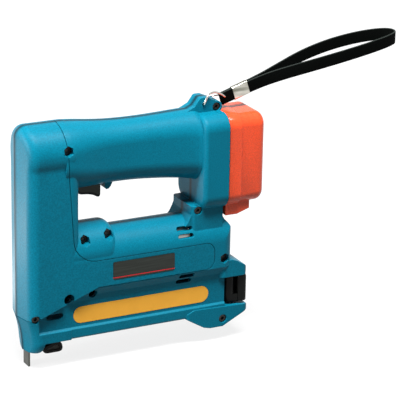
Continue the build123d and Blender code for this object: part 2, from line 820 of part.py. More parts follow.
with BuildPart() as lug_form:
    lug_x, lug_z = LUG_SCREW
    ring_x, ring_z = RING_PIVOT
    with BuildSketch(side()) as lug_side:
        with BuildLine():
            Polyline(
                (ring_x - LUG_RUN, WELL_HEAD),
                (ring_x - LUG_RUN, HOLDER_HEAD + LUG_STEP / 3),
                (ring_x - LUG_RUN / 2, HOLDER_HEAD + LUG_STEP),
                (ring_x - LUG_CROWN / 2, ring_z + LUG_CROWN),
                (ring_x + LUG_CROWN / 2, ring_z + LUG_CROWN),
                (lug_x, lug_z + LUG_BOSS_R),
                (lug_x, WELL_HEAD),
                close=True,
            )
        make_face()
        fillet(lug_side.vertices().sort_by(Axis.Y)[3:], LUG_ROUND)
    extrude(amount=LUG_HALF, both=True)
    bar_y(lug_x, (-LUG_HALF, LUG_HALF), lug_z, LUG_BOSS_R)

with BuildPart() as jaw_form:
    jaw_start = MAGAZINE_REAR - JAW_ROOT
    jaw_end = ARM_REAR + JAW_REACH
    profile(
        (
            (jaw_start, JAW_HEAD),
            (ARM_REAR, JAW_HEAD),
            (ARM_REAR + JAW_REACH / 3, JAW_HEAD - JAW_REACH / 8),
            (jaw_end - JAW_REACH / 8, JAW_LIP + JAW_REACH / 4),
            (jaw_end, JAW_LIP),
            (jaw_end - JAW_REACH / 8, JAW_FOOT),
            (jaw_start, JAW_FOOT),
        ),
        JAW_HALF,
    )
    with BuildSketch(level(0)):
        with Locations(((jaw_start + jaw_end) / 2, 0)):
            RectangleRounded(jaw_end - jaw_start, 2 * JAW_HALF, JAW_ROUND)
    extrude(amount=NOSE_TOP, mode=Mode.INTERSECT)

with BuildPart() as foot_form:
    foot_x = FOOT_SCREW[0]
    foot_start = foot_x - FOOT_RUN
    profile(
        (
            (foot_start, BODY_FOOT + FLOOR / 2),
            (foot_x - FOOT_RUN / 2, FLOOR),
            (foot_x - FOOT_RUN / 3, 0),
            (foot_x, 0),
            (jaw_end, BODY_FOOT),
            (jaw_end + FLOOR, BODY_FOOT + FLOOR),
            (jaw_end, LEDGE_REAR),
            (foot_start + FOOT_RUN / 4, LEDGE_FRONT),
            (foot_start, BODY_FOOT + 2 * FLOOR),
        ),
        FOOT_HALF,
    )
    with BuildSketch(level(0)):
        with Locations(((foot_start + jaw_end + FLOOR) / 2, 0)):
            RectangleRounded(jaw_end + FLOOR - foot_start, 2 * FOOT_HALF, JAW_ROUND)
    extrude(amount=NOSE_TOP, mode=Mode.INTERSECT)

with BuildPart() as guard_form:
    guard_top = HANDLE_CAVITY_FOOT
    guard_foot = HANDLE_CAVITY_FOOT - WALL - GUARD_DROP
    profile(
        (
            (GUARD_FRONT, guard_top),
            (GUARD_FRONT, guard_foot + GUARD_LENGTH / 4),
            (GUARD_FRONT + GUARD_LENGTH / 5, guard_foot),
            (GUARD_FRONT + GUARD_LENGTH / 2, guard_foot + GUARD_LENGTH / 16),
            (GUARD_FRONT + GUARD_LENGTH * 3 / 4, guard_foot + GUARD_LENGTH / 3),
            (GUARD_FRONT + GUARD_LENGTH, guard_foot + GUARD_DROP),
            (GUARD_FRONT + GUARD_LENGTH, guard_top),
        ),
        GUARD_HALF,
    )

with BuildPart() as outer:
    add(nose_form.part)
    add(handle_form.part)
    add(holder_form.part)
    add(arm_form.part)
    add(hump_form.part)
    add(magazine_form.part)
    add(lower_nose_form.part)
    add(neck_form.part)
    add(lug_form.part)
    add(jaw_form.part)
    add(foot_form.part)
    add(guard_form.part)

# Bosses, ribs and rests that stand in the cavities
with BuildPart() as bosses:
    for bolt_x, bolt_z, bolt_half in BOLT_PLACES:
        bar_y(bolt_x, (-bolt_half, bolt_half), bolt_z, BOSS_R)
    block((WALL, CONTACT_X + CONTACT_THICK), (-BODY_HALF, BODY_HALF), (CONTACT_STOP_Z, CONTACT_STOP_Z + WALL))
    block((ROD_X - CAP_RIB, ROD_X + CAP_RIB), (-WALL, WALL), (ROD_TOP + SLIDE_GAP, NOSE_TOP))
    add(outer.part, mode=Mode.INTERSECT)

with BuildPart() as motor_ribs:
    for rib_x in RIB_PLACES:
        with BuildSketch(across(rib_x)):
            with Locations((0, ARM_AXIS_Z)):
                Circle(BODY_HALF - WALL / 2)
            with Locations((0, (PANEL_FOOT + ARM_AXIS_Z) / 2)):
                Rectangle(2 * BODY_HALF - WALL, ARM_AXIS_Z - PANEL_FOOT)
            with Locations((0, ARM_AXIS_Z)):
                Circle(MOTOR_R + MOTOR_RIB_FIT, mode=Mode.SUBTRACT)
        extrude(amount=MOTOR_RIB)

# Room for the drive in the nose, with a narrower bay behind the ridge for the contact arm's spring
inner_half = BODY_HALF - WALL
with BuildPart() as nose_room:
    block((NOSE_WALL, COLUMN_BACK - WALL), (-inner_half, inner_half), (PANEL_FOOT, BARREL_Z))
    bar_x((CONTACT_X, COLUMN_BACK - WALL), 0, BARREL_Z, BARREL_R - WALL)
    with BuildSketch(level(0)):
        with BuildLine():
            Polyline(
                (NOSE_WALL, -NOSE_BAY_HALF),
                (NOSE_WALL, NOSE_BAY_HALF),
                (CONTACT_X, inner_half),
                (CONTACT_X, THROUGH),
                (COLUMN_BACK, THROUGH),
                (COLUMN_BACK, -THROUGH),
                (CONTACT_X, -THROUGH),
                (CONTACT_X, -inner_half),
                close=True,
            )
        make_face()
    extrude(amount=NOSE_TOP, mode=Mode.INTERSECT)

# Hollowed housing before it is parted into halves and covers
with BuildPart() as shell:
    add(outer.part)
    add(nose_room.part, mode=Mode.SUBTRACT)
    inner_start = COLUMN_BACK - 2 * WALL
    recess_inner = (-RECESS_HALF + WALL, RECESS_HALF - WALL)
    nose_bay = (CONTACT_X - SLIDE_GAP, COLUMN_BACK - WALL)
    block(nose_bay, recess_inner, (NOSE_FLOOR, PANEL_FOOT + WALL), Mode.SUBTRACT)
    with BuildSketch(across(inner_start)):
        with Locations((0, (HANDLE_CAVITY_FOOT + HANDLE_CAVITY_HEAD) / 2)):
            RectangleRounded(
                2 * HANDLE_CAVITY_HALF,
                HANDLE_CAVITY_HEAD - HANDLE_CAVITY_FOOT,
                HANDLE_CAVITY_ROUND,
            )
    extrude(amount=HOLDER_WELL - inner_start, mode=Mode.SUBTRACT)
    with BuildSketch(across(HOLDER_WELL)):
        with Locations((0, (WELL_FOOT + WELL_HEAD) / 2)):
            RectangleRounded(2 * WELL_HALF, WELL_HEAD - WELL_FOOT, HOLDER_ROUND - WALL)
    extrude(amount=HOLDER_REAR - HOLDER_WELL, mode=Mode.SUBTRACT)
    arm_bore_end = ARM_REAR - ARM_ROUND
    bar_x((inner_start, arm_bore_end), 0, ARM_AXIS_Z, inner_half, Mode.SUBTRACT)
    bar_x((arm_bore_end, ARM_REAR - WALL), 0, ARM_AXIS_Z, inner_half - ARM_ROUND / 2, Mode.SUBTRACT)
    block((inner_start, ARM_REAR - WALL), (-inner_half, inner_half), (PANEL_FOOT, ARM_AXIS_Z), Mode.SUBTRACT)
    bar_x((inner_start, HUMP_END - WALL), 0, ARM_AXIS_Z + HUMP_RISE, inner_half, Mode.SUBTRACT)
    block((inner_start, MAGAZINE_REAR - WALL), recess_inner, (NOSE_FLOOR, PANEL_FOOT + WALL), Mode.SUBTRACT)
    block(
        (LEAD_X - LEAD_WAY, LEAD_X + LEAD_WAY),
        (-LEAD_SPACING - LEAD_WAY, LEAD_SPACING + LEAD_WAY),
        (ARM_AXIS_Z, WELL_FOOT + HOLDER_EDGE),
        Mode.SUBTRACT,
    )
    add(bosses.part)
    add(motor_ribs.part)
    block(
        (STAPLE_X, MAGAZINE_REAR),
        (-CHANNEL_HALF - CHANNEL_SEAT, CHANNEL_HALF + CHANNEL_SEAT),
        (BODY_FOOT + FLOOR, CHANNEL_TOP + CHANNEL_SEAT),
        Mode.SUBTRACT,
    )
    block(
        (CONTACT_X - SLIDE_GAP, STAPLE_X),
        (-PLATE_HALF - SLIDE_GAP, PLATE_HALF + SLIDE_GAP),
        (-CONTACT_REACH, NOSE_FLOOR),
        Mode.SUBTRACT,
    )
    block(
        TRIGGER_SLOT,
        (-TRIGGER_HALF - TRIGGER_GAP, TRIGGER_HALF + TRIGGER_GAP),
        (HOLDER_FOOT, SWITCH_FOOT),
        Mode.SUBTRACT,
    )
    pivot_x, pivot_z = TRIGGER_PIVOT
    bar_y(pivot_x, (-TRIGGER_PIN_HALF, TRIGGER_PIN_HALF), pivot_z, TRIGGER_PIN_R + BOLT_FIT, Mode.SUBTRACT)
    bar_y(ring_x, (-THROUGH, THROUGH), ring_z, RING_HOLE_R, Mode.SUBTRACT)
    for vent_x, vent_z in VENTS:
        slot(vent_x, vent_z, VENT_LENGTH, VENT_HEIGHT, Mode.SUBTRACT)
    slot(WINDOW[0], WINDOW[1], WINDOW_LENGTH, WINDOW_HEIGHT, Mode.SUBTRACT)
    for hole_x, hole_z, hole_r in SIDE_HOLES:
        bar_y(hole_x, (-THROUGH, THROUGH), hole_z, hole_r, Mode.SUBTRACT)
    for bolt_x, bolt_z, bolt_half in BOLT_PLACES:
        bar_y(bolt_x, (-bolt_half, bolt_half), bolt_z, BOLT_R + BOLT_FIT, Mode.SUBTRACT)
        hex_y(bolt_x, (-THROUGH, NUT_SINK - bolt_half), bolt_z, NUT_FLATS, Mode.SUBTRACT)
        head_y = bolt_half - BOLT_SINK - BOLT_HEAD_LENGTH
        bar_y(bolt_x, (head_y, THROUGH), bolt_z, BOLT_HEAD_R + HEAD_FIT, Mode.SUBTRACT)
    for screw_x, screw_z, screw_half in SCREW_PLACES:
        screw_hole(screw_x, screw_z, SCREW_SINK - screw_half, SCREW_TIP * screw_half)
    for hand in (-1, 1):
        front_face = hand * (BODY_HALF - FRONT_SINK)
        screw_hole(FRONT_SCREW[0], FRONT_SCREW[1], front_face, front_face - hand * FRONT_SCREW_LENGTH)
    rounded_plate(NAMEPLATE, NAMEPLATE_LENGTH, NAMEPLATE_HEIGHT, NAMEPLATE_ROUND, BODY_HALF, 0, Mode.SUBTRACT)
    rounded_plate(LABEL, LABEL_LENGTH, LABEL_HEIGHT, LABEL_ROUND, RECESS_HALF, 0, Mode.SUBTRACT)

with BuildPart() as cover_zone:
    extrude(cover_outline(0), amount=THROUGH, both=True)

with BuildPart() as cover_core:
    extrude(cover_outline(SEAM), amount=THROUGH, both=True)

# Housing halves and the covers over the drive column
with BuildPart() as left_housing:
    add(shell.part)
    left_room()
    add(cover_zone.part, mode=Mode.SUBTRACT)
save(left_housing, "left_housing")

with BuildPart() as right_housing:
    add(shell.part)
    right_room()
    add(cover_zone.part, mode=Mode.SUBTRACT)
save(right_housing, "right_housing")

with BuildPart() as left_cover:
    add(shell.part)
    left_room()
    add(cover_core.part, mode=Mode.INTERSECT)
save(left_cover, "left_cover")

with BuildPart() as right_cover:
    add(shell.part)
    right_room()
    add(cover_core.part, mode=Mode.INTERSECT)
save(right_cover, "right_cover")

with BuildPart() as nose_foot:
    profile(
        (
            (NOSE_FOOT_START, BODY_FOOT),
            (NOSE_FOOT_START + NOSE_FOOT_SLOPE, 0),
            (NOSE_FOOT_END - 2 * NOSE_FOOT_SLOPE, 0),
            (NOSE_FOOT_END, NOSE_FOOT_SLOPE),
            (NOSE_FOOT_END, BODY_FOOT),
        ),
        NOSE_FOOT_HALF,
    )
save(nose_foot, "nose_foot")

with BuildPart() as nameplate:
    rounded_plate(NAMEPLATE, NAMEPLATE_LENGTH, NAMEPLATE_HEIGHT, NAMEPLATE_ROUND, BODY_HALF, PLATE_FIT)
save(nameplate, "nameplate")

with BuildPart() as label:
    rounded_plate(LABEL, LABEL_LENGTH, LABEL_HEIGHT, LABEL_ROUND, RECESS_HALF, PLATE_FIT)
save(label, "label")

# Through bolts with their nuts, and the screws of the lug, neck, foot and covers
with BuildPart() as through_bolts:
    for bolt_x, bolt_z, bolt_half in BOLT_PLACES:
        cap_screw(bolt_x, bolt_z, bolt_half - BOLT_SINK, NUT_SINK - bolt_half - NUT_LENGTH)
save(through_bolts, "through_bolts")

with BuildPart() as bolt_nuts:
    for bolt_x, bolt_z, bolt_half in BOLT_PLACES:
        nut_y = (NUT_SINK - bolt_half - NUT_LENGTH, NUT_SINK - bolt_half)
        hex_y(bolt_x, nut_y, bolt_z, NUT_FLATS - 2 * NUT_FIT)
        bar_y(bolt_x, nut_y, bolt_z, BOLT_R + BOLT_FIT, Mode.SUBTRACT)
save(bolt_nuts, "bolt_nuts")

for name, (screw_x, screw_z, screw_half) in zip(("lug_screw", "neck_screw", "foot_screw"), SCREW_PLACES):
    with BuildPart() as screw:
        cap_screw(screw_x, screw_z, SCREW_SINK - screw_half, SCREW_TIP * screw_half)
    save(screw, name)

with BuildPart() as front_screws:
    for hand in (-1, 1):
        front_face = hand * (BODY_HALF - FRONT_SINK)
        cap_screw(FRONT_SCREW[0], FRONT_SCREW[1], front_face, front_face - hand * FRONT_SCREW_LENGTH)
save(front_screws, "front_screws")

# Contact arm in the nose, with the plate and the block that guide the driver
with BuildPart() as contact_arm:
    contact_x = (CONTACT_X, CONTACT_X + CONTACT_THICK)
    shoulder_z = NOSE_FLOOR + SLIDE_GAP
    block(contact_x, (-CONTACT_HALF, CONTACT_HALF), (-CONTACT_REACH, shoulder_z))
    block(contact_x, (-CONTACT_SHOULDER_HALF, CONTACT_SHOULDER_HALF), (shoulder_z, CONTACT_TOP))
    block(
        (CONTACT_X - CONTACT_TAB, CONTACT_X),
        (-CONTACT_TAB, CONTACT_TAB),
        (CONTACT_TOP - CONTACT_TAB_THICK, CONTACT_TOP),
    )
save(contact_arm, "contact_arm")

with BuildPart() as contact_spring:
    spring_x = CONTACT_X - CONTACT_TAB / 2
    spring_z = (CONTACT_TOP + SPRING_SEAT, CONTACT_STOP_Z - SPRING_SEAT)
    bar_z(spring_x, 0, spring_z, CONTACT_SPRING_R)
    bar_z(spring_x, 0, spring_z, CONTACT_SPRING_R - CONTACT_SPRING_WIRE, Mode.SUBTRACT)
save(contact_spring, "contact_spring")

with BuildPart() as nose_plate:
    block((PLATE_X, PLATE_X + PLATE_THICK), (-PLATE_HALF, PLATE_HALF), (PLATE_FOOT, GUIDE_TOP))
save(nose_plate, "nose_plate")

with BuildPart() as driver_guide:
    guide_half = RECESS_HALF - WALL - SLIDE_GAP
    slot_half = PLATE_HALF + ROD_FIT
    block((PLATE_X, GUIDE_X + GUIDE_DEPTH), (-guide_half, guide_half), (NOSE_FLOOR, GUIDE_TOP))
    block((PLATE_X, GUIDE_X), (-slot_half, slot_half), (NOSE_FLOOR, GUIDE_TOP), Mode.SUBTRACT)
    for rod_y in (-ROD_OFFSET, ROD_OFFSET):
        bar_z(ROD_X, rod_y, (ROD_FOOT, GUIDE_TOP), ROD_R + ROD_FIT, Mode.SUBTRACT)
save(driver_guide, "driver_guide")

with BuildPart() as bumper:
    bumper_z = (GUIDE_TOP, GUIDE_TOP + BUMPER_THICK)
    block((GUIDE_X, GUIDE_X + BUMPER_DEPTH), (-guide_half, guide_half), bumper_z)
    for rod_y in (-ROD_OFFSET, ROD_OFFSET):
        bar_z(ROD_X, rod_y, bumper_z, ROD_R + RAIL_FIT, Mode.SUBTRACT)
save(bumper, "bumper")

# Spring drive: a plunger on two rods pushes the driver blade down
with BuildPart() as plunger:
    block((PLUNGER_X, PLUNGER_REAR), (-PLUNGER_HALF, PLUNGER_HALF), (PLUNGER_FOOT, PLUNGER_TOP))
    block(
        (PLUNGER_REAR, PLUNGER_REAR + LUG_DEPTH),
        (-LUG_LIFT_HALF, LUG_LIFT_HALF),
        (LUG_FOOT, LUG_FOOT + LUG_THICK),
    )
    block(
        (PLUNGER_X, BLADE_X + BLADE_THICK),
        (-BLADE_HALF, BLADE_HALF),
        (PLUNGER_FOOT, PLUNGER_FOOT + BLADE_SOCKET),
        Mode.SUBTRACT,
    )
    for rod_y in (-ROD_OFFSET, ROD_OFFSET):
        bar_z(ROD_X, rod_y, (PLUNGER_FOOT, PLUNGER_TOP), ROD_R + ROD_FIT, Mode.SUBTRACT)
save(plunger, "plunger")

with BuildPart() as driver_blade:
    blade_z = (BLADE_FOOT, PLUNGER_FOOT + BLADE_SOCKET)
    block((BLADE_X, BLADE_X + BLADE_THICK), (-BLADE_HALF, BLADE_HALF), blade_z)
save(driver_blade, "driver_blade")

for name, rod_y in (("left", -ROD_OFFSET), ("right", ROD_OFFSET)):
    with BuildPart() as guide_rod:
        bar_z(ROD_X, rod_y, (ROD_FOOT, ROD_TOP), ROD_R)
    save(guide_rod, f"{name}_guide_rod")
    with BuildPart() as drive_spring:
        drive_z = (PLUNGER_TOP + SPRING_SEAT, CAP_FOOT - SPRING_SEAT)
        bar_z(ROD_X, rod_y, drive_z, SPRING_R)
        bar_z(ROD_X, rod_y, drive_z, SPRING_R - SPRING_WIRE, Mode.SUBTRACT)
    save(drive_spring, f"{name}_drive_spring")

with BuildPart() as spring_cap:
    block((ROD_X - CAP_DEPTH / 2, ROD_X + CAP_DEPTH / 2), (-CAP_HALF, CAP_HALF), (CAP_FOOT, ROD_TOP))
    for rod_y in (-ROD_OFFSET, ROD_OFFSET):
        bar_z(ROD_X, rod_y, (CAP_FOOT, ROD_TOP), ROD_R + ROD_FIT, Mode.SUBTRACT)
save(spring_cap, "spring_cap")

# Gear train from the motor to the crank that lifts the plunger
with BuildPart() as crank_gear:
    gear(CRANK_X, CRANK_Z, CRANK_WIDTH, CRANK_TEETH, CRANK_MODULE, -90)
    bar_x((CRANK_X, CRANK_X + CRANK_WIDTH), 0, CRANK_Z, AXLE_R + RUN_FIT, Mode.SUBTRACT)
    bar_x((CRANK_X - ROLLER_GAP - ROLLER_LENGTH, CRANK_X), 0, ROLLER_Z, CRANK_PIN_R)
save(crank_gear, "crank_gear")

with BuildPart() as crank_roller:
    roller_x = (CRANK_X - ROLLER_GAP - ROLLER_LENGTH, CRANK_X - ROLLER_GAP)
    bar_x(roller_x, 0, ROLLER_Z, ROLLER_R)
    bar_x(roller_x, 0, ROLLER_Z, CRANK_PIN_R + RUN_FIT, Mode.SUBTRACT)
save(crank_roller, "crank_roller")

with BuildPart() as gear_plate:
    plate_x = (GEAR_PLATE_X, GEAR_PLATE_X + GEAR_PLATE_THICK)
    plate_half = BODY_HALF - WALL - GEAR_PLATE_FIT
    block(plate_x, (-plate_half, plate_half), (PANEL_FOOT + GEAR_PLATE_FIT, GEAR_PLATE_HEAD))
    bar_x((CRANK_X + SLIDE_GAP, GEAR_PLATE_X), 0, CRANK_Z, AXLE_R)
    bar_x(plate_x, 0, SHAFT_Z, SHAFT_R + RUN_FIT, Mode.SUBTRACT)
save(gear_plate, "gear_plate")

with BuildPart() as intermediate_gear:
    bar_x((CRANK_X, GEAR_HEAD_X + GEAR_HEAD_FLANGE), 0, SHAFT_Z, SHAFT_R)
    gear(CRANK_X, SHAFT_Z, CRANK_WIDTH, CRANK_PINION_TEETH, CRANK_MODULE, 90 + 180 / CRANK_PINION_TEETH)
    gear(FIRST_X, SHAFT_Z, FIRST_WIDTH, FIRST_TEETH, FIRST_MODULE, 90)
save(intermediate_gear, "intermediate_gear")

with BuildPart() as drive_pinion:
    pinion_x = FIRST_X - PINION_EXTRA
    pinion_width = FIRST_WIDTH + 2 * PINION_EXTRA
    gear(pinion_x, ARM_AXIS_Z, pinion_width, FIRST_PINION_TEETH, FIRST_MODULE, 180 / FIRST_PINION_TEETH - 90)
    bar_x((pinion_x, GEAR_HEAD_X + PINION_SHAFT_LENGTH), 0, ARM_AXIS_Z, PINION_SHAFT_R)
save(drive_pinion, "drive_pinion")

with BuildPart() as gear_head:
    head_x = (GEAR_HEAD_X, GEAR_HEAD_X + GEAR_HEAD_LENGTH)
    flange_x = (GEAR_HEAD_X, GEAR_HEAD_X + GEAR_HEAD_FLANGE)
    bar_x(head_x, 0, ARM_AXIS_Z, GEAR_HEAD_R)
    block(flange_x, (-FLANGE_HALF, FLANGE_HALF), (SHAFT_Z - FLANGE_DROP, ARM_AXIS_Z))
    bar_x(flange_x, 0, SHAFT_Z, SHAFT_R + RUN_FIT, Mode.SUBTRACT)
    shaft_well = (GEAR_HEAD_X, GEAR_HEAD_X + PINION_SHAFT_LENGTH + SLIDE_GAP)
    bar_x(shaft_well, 0, ARM_AXIS_Z, PINION_SHAFT_R + RUN_FIT, Mode.SUBTRACT)
save(gear_head, "gear_head")

with BuildPart() as motor:
    motor_rear = MOTOR_X + MOTOR_LENGTH
    bar_x((MOTOR_X, motor_rear), 0, ARM_AXIS_Z, MOTOR_R)
    bar_x((motor_rear, motor_rear + MOTOR_BOSS_LENGTH), 0, ARM_AXIS_Z, MOTOR_BOSS_R)
save(motor, "motor")

# Trigger, switch and the lead from the switch to the motor
with BuildPart() as trigger:
    trigger_middle = (TRIGGER_FRONT + TRIGGER_REAR) / 2
    profile(
        (
            (TRIGGER_FRONT, TRIGGER_TOP),
            (TRIGGER_FRONT, pivot_z - 2 * TRIGGER_PIN_R),
            (TRIGGER_FRONT + TRIGGER_PIN_R, TRIGGER_FOOT),
            (trigger_middle, TRIGGER_FOOT - TRIGGER_PIN_R / 2),
            (TRIGGER_REAR - TRIGGER_PIN_R, TRIGGER_TIP),
            (TRIGGER_REAR, TRIGGER_TIP + TRIGGER_PIN_R / 2),
            (TRIGGER_REAR, pivot_z - 2 * TRIGGER_PIN_R),
            (TRIGGER_REAR - TRIGGER_PIN_R, TRIGGER_TOP),
        ),
        TRIGGER_HALF,
    )
    bar_y(pivot_x, (-TRIGGER_HALF, TRIGGER_HALF), pivot_z, TRIGGER_PIN_R + RUN_FIT, Mode.SUBTRACT)
save(trigger, "trigger")

with BuildPart() as trigger_pin:
    bar_y(pivot_x, (-TRIGGER_PIN_HALF, TRIGGER_PIN_HALF), pivot_z, TRIGGER_PIN_R)
save(trigger_pin, "trigger_pin")

with BuildPart() as switch_button:
    button_foot = TRIGGER_TOP + SWITCH_BUTTON_GAP
    bar_z(SWITCH_BUTTON_X, 0, (button_foot, button_foot + SWITCH_BUTTON_LENGTH), SWITCH_BUTTON_R)
save(switch_button, "switch_button")

with BuildPart() as switch:
    switch_rear = SWITCH_START + SWITCH_LENGTH
    switch_z = (SWITCH_FOOT, SWITCH_FOOT + SWITCH_HEIGHT)
    block((SWITCH_START, switch_rear), (-SWITCH_HALF, SWITCH_HALF), switch_z)
    well_top = button_foot + SWITCH_BUTTON_LENGTH + SWITCH_BUTTON_WELL
    bar_z(SWITCH_BUTTON_X, 0, (SWITCH_FOOT, well_top), SWITCH_BUTTON_R + RUN_FIT, Mode.SUBTRACT)
save(switch, "switch")

with BuildPart() as motor_lead:
    bar_x((motor_rear, LEAD_X), LEAD_SPACING, LEAD_FOOT, LEAD_R)
    bar_z(LEAD_X, LEAD_SPACING, (LEAD_FOOT, LEAD_HEAD), LEAD_R)
    bar_x((switch_rear, LEAD_X), LEAD_SPACING, LEAD_HEAD, LEAD_R)
    for bend_z in (LEAD_FOOT, LEAD_HEAD):
        with Locations((NOSE_X + LEAD_X, LEAD_SPACING, BASE_Z + bend_z)):
            Sphere(LEAD_R)
save(motor_lead, "motor_lead")

# Magazine: fixed channel, and the rail with its cap that slides out to the rear
with BuildPart() as magazine_channel:
    channel_x = (STAPLE_X, CHANNEL_REAR)
    channel_inner = CHANNEL_HALF - CHANNEL_WALL
    block(channel_x, (-CHANNEL_HALF, CHANNEL_HALF), (CHANNEL_FOOT, CHANNEL_TOP))
    channel_room = (CHANNEL_FOOT, CHANNEL_TOP - CHANNEL_WALL)
    block(channel_x, (-channel_inner, channel_inner), channel_room, Mode.SUBTRACT)
    window_x = (WINDOW[0] - WINDOW_LENGTH / 2, WINDOW[0] + WINDOW_LENGTH / 2)
    block(window_x, (-CHANNEL_HALF, CHANNEL_HALF), CHANNEL_WINDOW, Mode.SUBTRACT)
save(magazine_channel, "magazine_channel")

with BuildPart() as staples:
    staple_x = (STAPLE_X, STAPLE_X + STRIP_LENGTH)
    leg_half = CROWN_HALF - STAPLE_WIRE
    block(staple_x, (-CROWN_HALF, CROWN_HALF), (STAPLE_FOOT, STAPLE_TOP))
    block(staple_x, (-leg_half, leg_half), (STAPLE_FOOT, STAPLE_TOP - STAPLE_WIRE), Mode.SUBTRACT)
save(staples, "staples")

with BuildPart() as magazine_rail:
    bore_z = (RAIL_FOOT + RAIL_TOP) / 2
    bore_x = (PUSHER_X + PUSHER_LENGTH, CAP_FRONT)
    block((STAPLE_X, CAP_FRONT + RAIL_TENON), (-RAIL_HALF, RAIL_HALF), (RAIL_FOOT, RAIL_TOP))
    bar_x(bore_x, 0, bore_z, PUSHER_SPRING_R + PUSHER_SPRING_FIT, Mode.SUBTRACT)
save(magazine_rail, "magazine_rail")

with BuildPart() as pusher_spring:
    bar_x(bore_x, 0, bore_z, PUSHER_SPRING_R)
    bar_x(bore_x, 0, bore_z, PUSHER_SPRING_R - PUSHER_SPRING_WIRE, Mode.SUBTRACT)
save(pusher_spring, "pusher_spring")

with BuildPart() as pusher:
    pusher_x = (PUSHER_X, PUSHER_X + PUSHER_LENGTH)
    saddle_half = RAIL_HALF + RAIL_FIT
    block(pusher_x, (-CROWN_HALF, CROWN_HALF), (RAIL_FOOT, STAPLE_TOP))
    block(pusher_x, (-saddle_half, saddle_half), (RAIL_FOOT, RAIL_TOP + RAIL_FIT), Mode.SUBTRACT)
save(pusher, "pusher")

pin_x = LEVER_X + LEVER_PIN[0]
pin_z = CAP_BLOCK_FOOT + LEVER_PIN[1]
ear_half = CAP_BLOCK_HALF - LEVER_EAR
with BuildPart() as magazine_cap:
    cap_z = (CAP_BLOCK_FOOT, CAP_BLOCK_HEAD)
    grip_x = (CAP_FRONT + CAP_REAR) / 2
    block((CAP_FRONT, CAP_REAR), (-GRIP_HALF, GRIP_HALF), cap_z)
    for hand in (-1, 1):
        bar_z(grip_x, hand * (CAP_BLOCK_HALF - GRIP_RIB_R), cap_z, GRIP_RIB_R)
    ear_z = (CAP_BLOCK_FOOT, CAP_BLOCK_FOOT + LEVER_EAR_HEIGHT)
    for ear_y in ((-CAP_BLOCK_HALF, -ear_half), (ear_half, CAP_BLOCK_HALF)):
        block((grip_x, CAP_REAR + LEVER_EAR_REACH), ear_y, ear_z)
    tenon_x = (CAP_FRONT, CAP_FRONT + RAIL_TENON)
    block(tenon_x, (-RAIL_HALF, RAIL_HALF), (CAP_BLOCK_FOOT, RAIL_TOP), Mode.SUBTRACT)
    bar_y(pin_x, (-CAP_BLOCK_HALF, CAP_BLOCK_HALF), pin_z, LEVER_PIN_R + RUN_FIT, Mode.SUBTRACT)
save(magazine_cap, "magazine_cap")

with BuildPart() as latch_lever:
    lever_rear = LEVER_X + LEVER_DEPTH - LEVER_RIB_R
    tongue_half = ear_half - LEVER_EAR_GAP
    wing_foot = CAP_BLOCK_FOOT + LEVER_EAR_HEIGHT + 2 * LEVER_EAR_GAP
    profile(
        (
            (LEVER_X, CAP_BLOCK_HEAD),
            (LEVER_X, pin_z + LEVER_CHAMFER),
            (LEVER_X + LEVER_CHAMFER, CAP_BLOCK_FOOT),
            (lever_rear, CAP_BLOCK_FOOT),
            (lever_rear, CAP_BLOCK_HEAD),
        ),
        tongue_half,
    )
    for hand in (-1, 1):
        side_y = hand * (CAP_BLOCK_HALF - LEVER_SIDE_R)
        bar_z(LEVER_X + LEVER_SIDE_R, side_y, (wing_foot, CAP_BLOCK_HEAD), LEVER_SIDE_R)
    rib_step = (CAP_BLOCK_HALF - LEVER_RIB_R) / 2
    for rib in range(-2, 3):
        bar_z(lever_rear, rib * rib_step, (wing_foot, CAP_BLOCK_HEAD), LEVER_RIB_R)
    bar_y(pin_x, (-CAP_BLOCK_HALF, CAP_BLOCK_HALF), pin_z, LEVER_PIN_R + RUN_FIT, Mode.SUBTRACT)
save(latch_lever, "latch_lever")

with BuildPart() as latch_pin:
    bar_y(pin_x, (-CAP_BLOCK_HALF, CAP_BLOCK_HALF), pin_z, LEVER_PIN_R)
save(latch_pin, "latch_pin")

